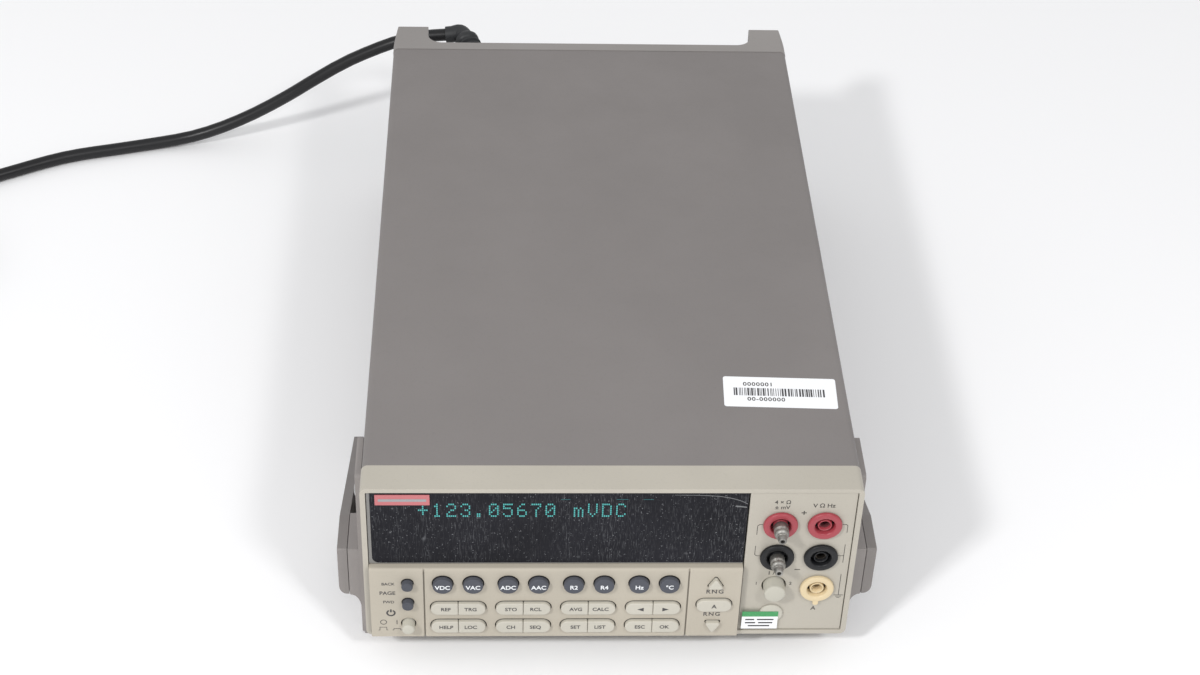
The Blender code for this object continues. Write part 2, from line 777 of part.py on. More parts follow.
def handle():
    """U-shaped handle: two arms, a crossbar and the pins that it turns on, about its pivot."""
    pivot_y, pivot_z = PIVOT
    origin = (0, pivot_y, pivot_z)
    bar_outline = rounded_outline(HANDLE_END - 120.0, BAR_HIGH - HANDLE_LOW, 3.0, 3)
    bar_middle = ((HANDLE_END + 120.0) / 2 - pivot_y, (BAR_HIGH + HANDLE_LOW) / 2 - pivot_z)
    bar_points = [(y + bar_middle[0], z + bar_middle[1]) for y, z in bar_outline]
    reach = HANDLE_OUTSIDE - 1.5
    grip = plate("handle", bar_points, "X", -reach, reach, origin)
    slope = math.tan(math.radians(21.0))
    top_y, top_z = HUB_Y[1], HUB_Z[1] - 0.7
    end_z = top_z - slope * (HANDLE_END - 4.6 - top_y)
    low_y = PIVOT[0] + (HUB_Z[0] - HANDLE_LOW) / slope
    arm_outline = [
        (HUB_Y[0], HUB_Z[1] - 0.6),
        (HUB_Y[0] + 0.6, HUB_Z[1]),
        (top_y - 1.8, HUB_Z[1]),
        (top_y, top_z),
        *arc(HANDLE_END - 6.0, end_z - 6.0, 6.0, 69, 0, 4),
        *arc(HANDLE_END - 4.0, HANDLE_LOW + 4.0, 4.0, 0, -90, 4),
        (low_y, HANDLE_LOW),
        (PIVOT[0], HUB_Z[0]),
        (HUB_Y[0] + 0.6, HUB_Z[0]),
        (HUB_Y[0], HUB_Z[0] + 0.6),
    ]
    about = [(y - pivot_y, z - pivot_z) for y, z in arm_outline]
    for word, sign in (("left", -1), ("right", 1)):
        sides = sorted((sign * HANDLE_INSIDE, sign * HANDLE_OUTSIDE))
        arm = plate(f"arm_{word}", about, "X", *sides, origin, helper=True)
        round_lower_edge(arm, sign * HANDLE_OUTSIDE * MM)
        soften(arm, 0.8, 1)
        pin = turned(
            f"pivot_pin_{word}",
            ((0, 1.0), (PIVOT_RADIUS, 1.0), (PIVOT_RADIUS, -4.2), (0, -4.2)),
            (sign * HANDLE_INSIDE, *PIVOT),
            (sign, 0, 0),
            24,
            helper=True,
        )
        join(grip, arm, pin)
    return paint(grip, HANDLE_GREY, 0.5)


def rear_feet():
    """Two moulded feet under the back of the cover."""
    for word, x in (("left", -82.0), ("right", 82.0)):
        profile = ((0, -GAP), (8.5, -GAP), (10.0, -FOOT_HEIGHT + 0.8), (9.2, -FOOT_HEIGHT), (0, -FOOT_HEIGHT))
        foot = turned(f"rear_foot_{word}", profile, (x, 306.0, 0), (0, 0, 1), 24)
        paint(foot, BLACK, 0.7)


def cord_connector():
    """Moulded connector in the inlet, with its strain relief bending away to the left."""
    width, tall = PLUG_NOSE
    nose = box(
        "cord_connector",
        (INLET_X - width / 2, 332.5, INLET_Z - tall / 2),
        (INLET_X + width / 2, 350.0, INLET_Z + tall / 2),
    )
    soften(nose, 1.2, 2)
    grip = box(
        "connector_grip",
        (INLET_X - 13.6, 348.6, INLET_Z - 9.6),
        (INLET_X + 13.6, 378.0, INLET_Z + 9.6),
        helper=True,
    )
    soften(grip, 3.0, 3)
    mouth = Vector(CORD_ROUTE[0])
    away = (Vector(CORD_ROUTE[1]) - mouth).normalized()
    bend = smooth_path(
        [
            (INLET_X, 373.0, INLET_Z),
            (INLET_X - 1.6, 384.0, INLET_Z + 1.0),
            (INLET_X - 4.6, 395.0, INLET_Z + 3.0),
            mouth - 9.0 * away,
            mouth - 4.0 * away,
            mouth - GAP * away,
        ],
        4.0,
    )
    last = len(bend) - 1
    radii = [7.0 - 2.3 * k / last for k in range(last + 1)]
    relief = tube("strain_relief", bend, radii, (0, 0, 0), helper=True)
    join(nose, grip, relief)
    return paint(nose, BLACK, 0.55)


def coil_heading(angle):
    """The way the cord runs where it touches the coil at an angle."""
    return Vector((-math.sin(angle), math.cos(angle), 0))


def cord():
    """The free mains lead: a tube to the coil, the coil's outer shape, a tail and the plug."""
    path = smooth_path(CORD_ROUTE, 8.5)
    lead = tube("power_cord", path, [CORD_RADIUS] * len(path), (0, 0, 0))
    paint(lead, BLACK, 0.5)
    floor = -FOOT_HEIGHT
    reach = COIL_COLUMNS * CORD_RADIUS
    tall = 2 * CORD_RADIUS * COIL_LAYERS
    inner, outer = COIL_RADIUS - reach, COIL_RADIUS + reach
    soft = 2.0
    profile = (
        (inner, tall - soft),
        (inner + soft, tall),
        (outer - soft, tall),
        (outer, tall - soft),
        (outer, soft),
        (outer - soft, 0),
        (inner + soft, 0),
        (inner, soft),
        (inner, tall - soft),
    )
    coil = turned("cord_coil", profile, (*COIL_CENTRE, floor), (0, 0, 1), 32)
    paint(coil, BLACK, 0.5)
    touch = outer - CORD_RADIUS
    leave = Vector((COIL_CENTRE[0] - touch, COIL_CENTRE[1], floor + tall - CORD_RADIUS))
    heading = coil_heading(math.pi)
    rest = PLUG_HALF_HEIGHT - tall + CORD_RADIUS
    spots = [leave + heading * s for s in (TAIL_START, (TAIL_START + TAIL_END) / 2, TAIL_END)]
    spots[1] += Vector((0, 0, rest / 2 - 0.5))
    spots[2] += Vector((0, 0, rest))
    tail_path = smooth_path(spots, 8.0)
    tail = tube("cord_tail", tail_path, [CORD_RADIUS] * len(tail_path), (0, 0, 0))
    paint(tail, BLACK, 0.5)
    mains_plug(spots[2] + heading * GAP, heading)


def mains_plug(start_at, heading):
    """Moulded plug with a tapered strain relief, two blades and an earth pin."""
    relief_length, body_length = 26.0, 34.0
    mid_x = start_at.x
    mid_z = start_at.z
    body_front = start_at.y + heading.y * relief_length
    body_end = body_front + heading.y * body_length
    half_height = PLUG_HALF_HEIGHT
    plug = box(
        "mains_plug",
        (mid_x - 12.5, min(body_front, body_end), mid_z - half_height),
        (mid_x + 12.5, max(body_front, body_end), mid_z + half_height),
    )
    soften(plug, 3.5, 3)
    count = 6
    points = [start_at + heading * (relief_length + 4) * k / count for k in range(count + 1)]
    radii = [5.0 + 3.0 * k / count for k in range(count + 1)]
    relief = tube("plug_relief", points, radii, (0, 0, 0), helper=True)
    tools = [relief]
    for k, side in enumerate((-1, 1)):
        x = mid_x + side * 6.35
        ends = sorted((body_end - heading.y, body_end + heading.y * 17.0))
        low = (x - 0.75, ends[0], mid_z + 0.3)
        high = (x + 0.75, ends[1], mid_z + 6.6)
        tools.append(box(f"blade_{k}", low, high, helper=True))
    earth = turned(
        "earth_pin",
        ((0, 20.0), (1.4, 20.0), (2.4, 18.6), (2.4, -1.0), (0, -1.0)),
        (mid_x, body_end, mid_z - 5.6),
        tuple(heading),
        16,
        helper=True,
    )
    join(plug, *tools, earth)
    return paint(plug, BLACK, 0.55)


def main():
    start()
    front_bezel()
    key_panel()
    display_window()
    terminal_panel()
    display_board()
    keys()
    jacks()
    sense_pins()
    calibration_seal()
    case_cover()
    chassis()
    inside()
    power_inlet()
    rear_bezel()
    ears()
    handle()
    rear_feet()
    cord_connector()
    cord()


main()
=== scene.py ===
import math
import random

import bmesh
import bpy
from mathutils import Matrix, Vector


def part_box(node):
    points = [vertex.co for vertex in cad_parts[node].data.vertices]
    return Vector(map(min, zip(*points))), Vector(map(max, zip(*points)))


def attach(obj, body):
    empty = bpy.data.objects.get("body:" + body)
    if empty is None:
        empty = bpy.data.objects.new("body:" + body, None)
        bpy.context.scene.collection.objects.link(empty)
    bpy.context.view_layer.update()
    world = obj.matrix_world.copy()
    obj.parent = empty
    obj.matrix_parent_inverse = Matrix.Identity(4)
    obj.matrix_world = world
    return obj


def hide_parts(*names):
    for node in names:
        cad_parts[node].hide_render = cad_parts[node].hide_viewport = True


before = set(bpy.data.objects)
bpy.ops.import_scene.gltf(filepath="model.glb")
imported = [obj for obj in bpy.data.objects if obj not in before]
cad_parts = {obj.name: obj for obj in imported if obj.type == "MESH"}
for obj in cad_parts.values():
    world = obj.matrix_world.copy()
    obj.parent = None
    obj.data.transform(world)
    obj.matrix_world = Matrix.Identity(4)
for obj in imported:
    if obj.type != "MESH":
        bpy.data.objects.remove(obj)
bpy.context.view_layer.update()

# Sizes are in millimetres in the case's own frame, as in the design: X right, Y back from the
# bezel's front rim, Z up from the case's underside. TO_ROW turns them into the row's metres.
MM = 0.001
CASE_WIDTH, CASE_HEIGHT, CASE_LENGTH = 213.0, 88.0, 370.0
FOOT_HEIGHT = 15.0
ORIGIN_Y = 180.0
TO_ROW = Matrix.Scale(MM, 4) @ Matrix.Translation((0, -ORIGIN_Y, FOOT_HEIGHT))
TO_CASE = TO_ROW.inverted()
HALF = CASE_WIDTH / 2
GAP = 0.3
BODY = "instrument"
FORWARD = (0, -1, 0)
UPRIGHT = (0, 0, 1)

RIM_INSIDE, RIM_LOW, RIM_HIGH = 104.2, 2.2, 85.8
LEDGE_Y, LEDGE_BACK, BEZEL_DEPTH = 3.0, 5.2, 14.8
CORNER = 3.0
HUB_Y, HUB_Z = (16.0, 39.0), (8.8, 37.0)
PIVOT = (28.0, 24.0)
EAR_INSIDE, EAR_OUTSIDE, BOSS_OUTSIDE = HALF + GAP, 109.5, 114.4
HANDLE_INSIDE, HANDLE_OUTSIDE = BOSS_OUTSIDE + GAP, 119.0
HANDLE_END, HANDLE_LOW, BAR_HIGH = 133.0, -13.0, -1.5
GROOVES_X = (-80.5, 34.4)

ARROW_SIDE = 7.4
ARROW_BASE = ARROW_SIDE / (2 * math.sqrt(3)) - 0.1
PRINT_LIFT = 0.02
# The line between two half keys, narrower here than in the design, to look as thin as it should.
KEY_SPLIT = 0.14
JACK_RADIUS, JACK_BODY = 7.45, 5.9
REAR_RING_END = 354.0
PIN_RADIUS, BORE_RADIUS = 4.0, 4.4

# In the row's metres: painted shade in the key panel's holes, and on the keys in them, lies only below this.
HOLE_SHADE_TOP = (0.0560, 0.0562)

CORD_RADIUS = 3.5
CORD_ROUTE = (
    (-80.0, 405.6, 61.4),
    (-94.0, 405.9, 59.8),
    (-110.0, 406.5, 55.2),
    (-134.5, 407.6, 43.0),
    (-153.3, 407.7, 31.0),
    (-172.4, 407.3, 18.0),
    (-191.4, 406.9, 6.5),
    (-210.2, 406.0, -2.5),
    (-228.7, 404.5, -8.6),
    (-247.3, 401.5, -11.0),
    (-268.0, 396.0, -11.4),
    (-300.6, 386.0, -11.4),
    (-333.0, 368.5, -11.4),
    (-360.0, 353.3, -11.4),
    (-384.0, 340.1, -11.4),
)
COIL_CENTRE = (-385.0, 281.6)
COIL_OUTER_TURN = 50.5
COIL_PITCH = 7.3
COIL_RISE = 0.3
COIL_TURNS = 6
TAIL_LENGTH = 62.0
INLET = (-62.0, 58.0)


# ---- materials


class Nodes:
    """A small helper that adds linked nodes to one material."""

    def __init__(self, name):
        self.material = bpy.data.materials.new(name)
        self.material.use_nodes = True
        self.tree = self.material.node_tree
        self.shader = self.tree.nodes["Principled BSDF"]
        self.place = self.add("ShaderNodeTexCoord").outputs["Object"]

    def fill(self, node, values):
        """Links each of a node's named inputs to an output, or sets a constant on it."""
        for name, value in values.items():
            socket = node.inputs[name]
            if isinstance(value, bpy.types.NodeSocket):
                self.tree.links.new(value, socket)
            else:
                socket.default_value = value

    def add(self, kind, values=None, **settings):
        node = self.tree.nodes.new(kind)
        for key, value in settings.items():
            setattr(node, key, value)
        self.fill(node, values or {})
        return node

    def set(self, name, value):
        """Links or sets one of the shader's own inputs."""
        self.fill(self.shader, {name: value})

    def noise(self, size, detail=3.0, rough=0.55, stretch=None):
        """Noise whose blobs are about size metres across, stretched along an axis if asked."""
        where = self.place
        if stretch:
            where = self.add("ShaderNodeMapping", {"Scale": stretch, "Vector": where}).outputs["Vector"]
        values = {"Scale": 1.0 / size, "Detail": detail, "Roughness": rough, "Vector": where}
        return self.add("ShaderNodeTexNoise", values).outputs["Fac"]

    def ramp(self, value, low, high, first=0.0, last=1.0):
        values = {"Value": value, "From Min": low, "From Max": high, "To Min": first, "To Max": last}
        return self.add("ShaderNodeMapRange", values).outputs["Result"]

    def mix(self, factor, *colors):
        """Mixes two colours, each a node's output or three numbers."""
        first, second = ((*c, 1.0) if isinstance(c, tuple) else c for c in colors)
        values = {"Factor": factor, "A": first, "B": second}
        return self.add("ShaderNodeMix", values, data_type="RGBA").outputs["Result"]

    def times(self, first, second):
        values = {0: first, 1: second}
        return self.add("ShaderNodeMath", values, operation="MULTIPLY").outputs["Value"]

    def bump(self, height, strength, distance, under=None):
        values = {"Strength": strength, "Distance": distance, "Height": height}
        if under:
            values["Normal"] = under
        return self.add("ShaderNodeBump", values).outputs["Normal"]


def shade(color, factor):
    return tuple(min(1.0, c * factor) for c in color)


def moulded(name, color, rough=0.5, grain=0.0005, depth=0.00004, mottle=0.05, grime=0.06,
            recess=None, gloss=0.5):
    """Moulded plastic or paint: a fine grain, slow colour drift and faint handling marks.

    recess gives two depths in the case, in millimetres: between them the walls of holes, and the
    keys' sides in them, are darkened with painted shade for the shadow in the slots.
    """
    n = Nodes(name)
    n.set("Specular IOR Level", gloss)
    drift = n.ramp(n.noise(0.06, 2.0), 0.3, 0.7)
    tone = n.mix(drift, shade(color, 1 - mottle), shade(color, 1 + mottle))
    specks = n.ramp(n.noise(0.0011, 4.0, 0.7), 0.56, 0.76)
    mixed = n.mix(n.ramp(specks, 0, 1, 0, grime * 4), tone, shade(color, 0.62))
    if recess:
        # Painted shade: hole walls and key sides go dark between the recess depths, low on the panel, where
        # the slots lie in shadow.
        parts = n.add("ShaderNodeSeparateXYZ", {"Vector": n.place})
        deep = n.ramp(parts.outputs["Y"], *((y - ORIGIN_Y) * MM for y in recess))
        under = n.ramp(parts.outputs["Z"], *HOLE_SHADE_TOP, 1.0, 0.0)
        mixed = n.mix(n.times(deep, under), mixed, shade(color, 0.10))
    n.set("Base Color", mixed)
    smears = n.noise(0.018, 4.0)
    n.set("Roughness", n.ramp(smears, 0.3, 0.7, rough - 0.07, rough + 0.08))
    fine = n.bump(n.noise(grain, 2.0), 0.5, depth)
    wave = n.bump(n.noise(grain * 9, 2.0), 0.25, depth * 2, fine)
    n.set("Normal", wave)
    return n.material


def metal(name, color, rough=0.32, stretch=(1, 1, 14)):
    """Plated metal with fine drawn lines and dull patches."""
    n = Nodes(name)
    n.set("Metallic", 1.0)
    stain = n.ramp(n.noise(0.004, 4.0), 0.35, 0.7)
    n.set("Base Color", n.mix(stain, color, shade(color, 0.6)))
    lines = n.noise(0.0008, 3.0, 0.6, stretch)
    n.set("Roughness", n.ramp(lines, 0.3, 0.7, rough - 0.08, rough + 0.16))
    n.set("Normal", n.bump(lines, 0.4, 0.00003))
    return n.material


def dusty_window():
    """Dark film with vertical hairline scratches, dust specks and a few smudges."""
    n = Nodes("window_dark")
    n.set("Specular IOR Level", 0.12)
    fine = n.ramp(n.noise(0.0005, 3.0, 0.75, (1.0, 1.0, 0.09)), 0.52, 0.74, 0.0, 0.32)
    bands = n.ramp(n.noise(0.007, 3.0, 0.6, (1.0, 1.0, 0.12)), 0.38, 0.66, 0.15, 1.0)
    hair = n.times(fine, bands)
    dust = n.ramp(n.noise(0.0008, 1.0, 0.6), 0.70, 0.76, 0.0, 0.42)
    spots = n.ramp(n.noise(0.006, 1.0), 0.72, 0.80, 0.0, 0.20)
    dark, pale = (0.007, 0.007, 0.010), (0.38, 0.39, 0.41)
    base = n.mix(n.ramp(n.noise(0.05, 2.0), 0.3, 0.7), dark, (0.013, 0.013, 0.018))
    for layer in (hair, dust, spots):
        base = n.mix(layer, base, pale)
    n.set("Base Color", base)
    n.set("Roughness", n.ramp(hair, 0.0, 0.2, 0.30, 0.60))
    n.set("Normal", n.bump(n.noise(0.0008, 3.0, 0.6, (1.0, 1.0, 0.15)), 0.15, 0.00002))
    return n.material


def glowing(name, color, strength):
    """Lit readout dots, a little uneven."""
    n = Nodes(name)
    n.set("Base Color", n.mix(n.noise(0.004), shade(color, 0.35), shade(color, 0.5)))
    n.set("Specular IOR Level", 0.1)
    n.set("Emission Color", (*color, 1.0))
    n.set("Emission Strength", strength)
    n.set("Roughness", n.ramp(n.noise(0.002), 0.3, 0.7, 0.4, 0.6))
    return n.material


def printed(name, color, rough=0.6):
    """Screen-printed ink or paper, slightly worn."""
    n = Nodes(name)
    worn = n.ramp(n.noise(0.0009, 4.0), 0.5, 0.8, 0.0, 0.35)
    n.set("Base Color", n.mix(worn, color, tuple(c * 0.6 + 0.22 for c in color)))
    n.set("Roughness", n.ramp(n.noise(0.003), 0.3, 0.7, rough - 0.08, rough + 0.08))
    n.set("Normal", n.bump(n.noise(0.0004), 0.2, 0.00002))
    return n.material


def board_green():
    n = Nodes("solder_mask")
    tracks = n.ramp(n.noise(0.002, 1.0, 0.5, (1.0, 0.15, 1.0)), 0.48, 0.52)
    n.set("Base Color", n.mix(tracks, (0.02, 0.11, 0.05), (0.035, 0.19, 0.08)))
    n.set("Roughness", n.ramp(tracks, 0, 1, 0.35, 0.5))
    n.set("Normal", n.bump(tracks, 0.3, 0.00004))
    return n.material


LOOK = {
    "bezel": moulded("bezel_beige", (0.445, 0.415, 0.355), 0.52, 0.0004),
    # recess paints shade into the key holes and onto the keys' sides in them.
    "panel": moulded("panel_beige", (0.440, 0.400, 0.330), 0.52, 0.0004, recess=(-2.1, -1.4)),
    "key": moulded("key_beige", (0.500, 0.475, 0.410), 0.46, 0.0006, 0.00002, recess=(-2.7, -2.1)),
    "button": moulded("button_beige", (0.490, 0.472, 0.405), 0.5, 0.0006, 0.00002),
    "dark_key": moulded("key_grey", (0.070, 0.074, 0.090), 0.5, 0.0005, 0.00002, 0.06, 0.02,
                        recess=(-3.3, -2.5), gloss=0.3),
    "cover": moulded("cover_taupe", (0.200, 0.184, 0.178), 0.55, 0.0007, 0.00007, 0.035),
    "rear": moulded("rear_taupe", (0.270, 0.253, 0.242), 0.55, 0.0005),
    "handle": moulded("handle_grey", (0.246, 0.226, 0.217), 0.5, 0.0005),
    "ear": moulded("ear_grey", (0.285, 0.262, 0.252), 0.5, 0.0005),
    "black": moulded("black_plastic", (0.009, 0.0095, 0.011), 0.42, 0.0005, 0.00003, 0.15, 0.03, gloss=0.35),
    "rubber": moulded("rubber_black", (0.020, 0.020, 0.021), 0.75, 0.0004, 0.00006, 0.15),
    "boot": moulded("connector_black", (0.024, 0.025, 0.027), 0.5, 0.0005, 0.00003, 0.15, 0.03, gloss=0.4),
    "red": moulded("jack_red", (0.360, 0.050, 0.066), 0.36, 0.0006, 0.00002, 0.06, 0.02),
    "cream": moulded("jack_cream", (0.690, 0.560, 0.350), 0.36, 0.0006, 0.00002, 0.05, 0.01),
    "sheath": moulded("cord_sheath", (0.010, 0.010, 0.011), 0.38, 0.0008, 0.00004, 0.2, 0.05, gloss=0.35),
    "grey_edge": moulded("window_edge", (0.200, 0.195, 0.185), 0.45, 0.0006),
    "badge": moulded("badge_red", (0.500, 0.150, 0.160), 0.42, 0.0006, 0.00002, 0.08),
    "pin": metal("pin_metal", (0.40, 0.39, 0.365), 0.50, (1, 14, 1)),
    "black_inside": metal("contact_dull", (0.11, 0.095, 0.08), 0.5, (1, 14, 1)),
    "steel": metal("sheet_steel", (0.56, 0.56, 0.55), 0.38, (1, 1, 10)),
    "brass": metal("contact_brass", (0.62, 0.52, 0.32), 0.3),
    "iron": metal("transformer_iron", (0.24, 0.20, 0.17), 0.5, (14, 1, 1)),
    "window": dusty_window(),
    "teal": glowing("readout_teal", (0.075, 0.34, 0.33), 1.1),
    "faint": glowing("readout_faint", (0.04, 0.14, 0.15), 0.5),
    "ink": printed("dark_ink", (0.050, 0.048, 0.050)),
    "pale_ink": printed("faint_ink", (0.058, 0.053, 0.046)),
    "white_ink": printed("white_ink", (0.80, 0.82, 0.84)),
    "paper": printed("label_paper", (0.89, 0.90, 0.92), 0.5),
    "green": printed("sticker_green", (0.050, 0.30, 0.10), 0.5),
    "red_inside": moulded("contact_red_brown", (0.150, 0.040, 0.045), 0.45, 0.0006, 0.00002, 0.10),
    "cream_inside": moulded("contact_tan", (0.640, 0.500, 0.300), 0.45, 0.0006, 0.00002, 0.10),
    "film": moulded("film_edge", (0.30, 0.31, 0.32), 0.3, 0.0008),
    "film_line": moulded("film_line", (0.15, 0.155, 0.16), 0.35, 0.0008),
    "board": board_green(),
}


# ---- mesh tools


def arc(x, y, radius, first, last, count):
    """Points on an arc, its angles in degrees."""
    turns = [math.radians(first + (last - first) * k / count) for k in range(count + 1)]
    return [(x + radius * math.cos(a), y + radius * math.sin(a)) for a in turns]


def ring(radius, count=48):
    return arc(0, 0, radius, 0, 360 - 360 / count, count - 1)


def rounded_outline(width, height, radius, count=8):
    x, y = width / 2 - radius, height / 2 - radius
    points = []
    for k, (sx, sy) in enumerate(((1, 1), (-1, 1), (-1, -1), (1, -1))):
        points += arc(sx * x, sy * y, radius, 90 * k, 90 * k + 90, count)
    return points


def stadium(width, height):
    x, radius = (width - height) / 2, height / 2
    return arc(x, 0, radius, -90, 90, 16) + arc(-x, 0, radius, 90, 270, 16)


def triangle(side, up):
    """Three round-cornered sides, pointing up or down."""
    radius = 0.9
    reach = side / math.sqrt(3) - 2 * radius
    points = []
    for k in range(3):
        middle = 90 + 120 * k
        a = math.radians(middle)
        points += arc(reach * math.cos(a), reach * math.sin(a), radius, middle - 60, middle + 60, 6)
    return [(px, up * py) for px, py in points]


def spot(axis, u, v, w):
    """A point from two outline coordinates and a depth along the axis."""
    return {"X": (w, u, v), "Y": (u, w, v), "Z": (u, v, w)}[axis]


def skin(bm, rows):
    """Adds the faces between rows of points: a row of a single point closes an end."""
    for first, second in zip(rows, rows[1:]):
        count = max(len(first), len(second))
        for k in range(count):
            after = (k + 1) % count
            corners = [first[k % len(first)], first[after % len(first)]]
            corners += [second[after % len(second)], second[k % len(second)]]
            bm.faces.new(list(dict.fromkeys(corners)))


def prism(bm, outline, axis, low, high, at=(0, 0)):
    """Adds an outline extruded from low to high along an axis."""
    ends = [
        [bm.verts.new(spot(axis, u + at[0], v + at[1], w)) for u, v in outline] for w in (low, high)
    ]
    bm.faces.new(ends[0])
    bm.faces.new(ends[1])
    skin(bm, ends)
    return bm


def block(bm, low, high):
    outline = [(low[0], low[2]), (high[0], low[2]), (high[0], high[2]), (low[0], high[2])]
    return prism(bm, outline, "Y", low[1], high[1])


def lathe(bm, profile, centre, direction, steps, closed=False):
    """Adds a turned shape from (radius, distance along direction): a closed profile makes a ring."""
    turn = Vector(direction).to_track_quat("Z", "Y").to_matrix()
    centre = Vector(centre)
    rows = []
    for radius, along in profile:
        row = []
        for k in range(steps if radius else 1):
            a = 2 * math.pi * k / steps
            offset = Vector((radius * math.cos(a), radius * math.sin(a), along))
            row.append(bm.verts.new(centre + turn @ offset))
        rows.append(row)
    skin(bm, rows + rows[:1] if closed else rows)
    return bm


def sweep(bm, path, radii, sides=20):
    """Adds a closed tube along a path, with a radius at each point."""
    path = [Vector(p) for p in path]
    heading = (path[1] - path[0]).normalized()
    side = heading.cross(Vector(UPRIGHT)).normalized()
    angles = [2 * math.pi * j / sides for j in range(sides)]
    rows = []
    last = len(path) - 1
    for k, point in enumerate(path):
        ahead = (path[min(k + 1, last)] - path[max(k - 1, 0)]).normalized()
        side = (side - ahead * side.dot(ahead)).normalized()
        up = side.cross(ahead)
        spots = [point + radii[k] * (side * math.cos(a) + up * math.sin(a)) for a in angles]
        rows.append([bm.verts.new(p) for p in spots])
    skin(bm, rows)
    bm.faces.new(rows[0])
    bm.faces.new(rows[-1])
    return bm


def smooth_path(points, spacing):
    """Points about spacing apart on a Catmull-Rom curve through the given ones."""
    points = [Vector(p) for p in points]
    ends = [2 * points[0] - points[1], *points, 2 * points[-1] - points[-2]]
    path = [points[0]]
    for a, b, c, d in zip(ends, ends[1:], ends[2:], ends[3:]):
        count = max(1, round((c - b).length / spacing))
        for k in range(1, count + 1):
            t = k / count
            bend = 2 * b + (c - a) * t + (2 * a - 5 * b + 4 * c - d) * t**2
            path.append((bend + (3 * b - a - 3 * c + d) * t**3) / 2)
    return path


def new_object(name, data):
    """A scene object for a mesh, a curve, a light or a camera."""
    obj = bpy.data.objects.new(name, data)
    bpy.context.scene.collection.objects.link(obj)
    return obj


def baked(obj):
    """An object's shape as a mesh of its own, with its modifiers applied."""
    graph = bpy.context.evaluated_depsgraph_get()
    return bpy.data.meshes.new_from_object(obj.evaluated_get(graph))


def rough_object(bm, name="working"):
    """An object for a bmesh in millimetres, faces outwards."""
    bmesh.ops.recalc_face_normals(bm, faces=bm.faces)
    mesh = bpy.data.meshes.new(name)
    bm.to_mesh(mesh)
    bm.free()
    return new_object(name, mesh)


def plate(outline, axis, low, high, at=(0, 0)):
    return rough_object(prism(bmesh.new(), outline, axis, low, high, at))


def box(low, high):
    return rough_object(block(bmesh.new(), low, high))


def turned(profile, centre, direction=FORWARD, steps=48, closed=False):
    return rough_object(lathe(bmesh.new(), profile, centre, direction, steps, closed))


def tube(path, radii, sides=20):
    return rough_object(sweep(bmesh.new(), path, radii, sides))


def raised(rows, face, height):
    """Small blocks on a face that looks forward, each from its left, right, low and high."""
    bm = bmesh.new()
    for left, right, low, high in rows:
        block(bm, (left, face - height, low), (right, face + PRINT_LIFT, high))
    return rough_object(bm)


def settle(obj):
    """Turns an object's modifiers into its mesh."""
    mesh, old = baked(obj), obj.data
    obj.modifiers.clear()
    obj.data = mesh
    bpy.data.meshes.remove(old)


def combined(obj, operation, *tools):
    """Cuts each tool from obj, or joins it to obj, and removes the tools."""
    for tool in tools:
        made = obj.modifiers.new("combine", "BOOLEAN")
        made.operation = operation
        made.solver = "EXACT"
        made.object = tool
    settle(obj)
    for tool in tools:
        bpy.data.objects.remove(tool, do_unlink=True)


def cut(obj, *tools):
    combined(obj, "DIFFERENCE", *tools)


def join(obj, *tools):
    combined(obj, "UNION", *tools)


def deliver(obj, name, look, body=BODY, nodes=(), bevel=0.0, segments=3, angle=35.0):
    obj.name = name
    obj.data.shade_smooth()
    obj.data.set_sharp_from_angle(angle=math.radians(angle))
    if bevel:
        soft = obj.modifiers.new("soften", "BEVEL")
        soft.width = bevel
        soft.segments = segments
        soft.limit_method = "ANGLE"
        soft.angle_limit = math.radians(angle)
        soft.harden_normals = True
        settle(obj)
    obj.data.name = name
    obj.data.transform(TO_ROW)
    obj.data.materials.clear()
    obj.data.materials.append(LOOK[look])
    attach(obj, body)
    if nodes:
        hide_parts(*nodes)
    return obj


def case_box(node):
    """A CAD node's corners in the case's frame."""
    low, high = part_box(node)
    return TO_CASE @ low, TO_CASE @ high


def lettering(text, size, x, y, z, axis="Y", spread=1.0):
    """Flat letters about a point, on a face that looks forward (Y) or up (Z)."""
    curve = bpy.data.curves.new("letters", "FONT")
    curve.body = text
    curve.size = size
    curve.align_x = "CENTER"
    curve.align_y = "CENTER"
    curve.extrude = 0.04
    curve.space_character = spread
    curve.offset = 0.018 * size
    guide = new_object("letters", curve)
    mesh = baked(guide)
    bpy.data.objects.remove(guide, do_unlink=True)
    bpy.data.curves.remove(curve)
    stand = Matrix.Rotation(math.pi / 2 if axis == "Y" else 0.0, 4, "X")
    mesh.transform(Matrix.Translation((x, y, z)) @ stand)
    bm = bmesh.new()
    bm.from_mesh(mesh)
    bmesh.ops.remove_doubles(bm, verts=bm.verts, dist=0.0005)
    bm.to_mesh(mesh)
    bm.free()
    return new_object("letters", mesh)


def merge(first, *others):
    """Joins loose objects' meshes into the first one."""
    bm = bmesh.new()
    for obj in (first, *others):
        bm.from_mesh(obj.data)
    bm.to_mesh(first.data)
    bm.free()
    for obj in others:
        bpy.data.objects.remove(obj, do_unlink=True)
    return first


# ---- cord


def coil_points():
    """The cord's wound part: a flat spiral in, a short rise, and a flat spiral out on top."""
    tangent = Vector(CORD_ROUTE[-1]) - Vector(CORD_ROUTE[-2])
    first = math.atan2(tangent.y, tangent.x) - math.pi / 2
    turns = COIL_TURNS + (math.pi - first) / (2 * math.pi) % 1.0
    flat = (turns - COIL_RISE) / 2
    low = -FOOT_HEIGHT + CORD_RADIUS + 0.05
    lift = 2 * CORD_RADIUS + 0.1
    count = round(turns * 40)
    points = []
    for k in range(count + 1):
        t = turns * k / count
        height = min(1.0, max(0.0, (t - flat) / COIL_RISE))
        radius = COIL_OUTER_TURN - COIL_PITCH * min(t, flat, turns - t)
        angle = first + 2 * math.pi * t
        x = COIL_CENTRE[0] + radius * math.cos(angle)
        y = COIL_CENTRE[1] + radius * math.sin(angle)
        points.append(Vector((x, y, low + lift * height)))
    return points


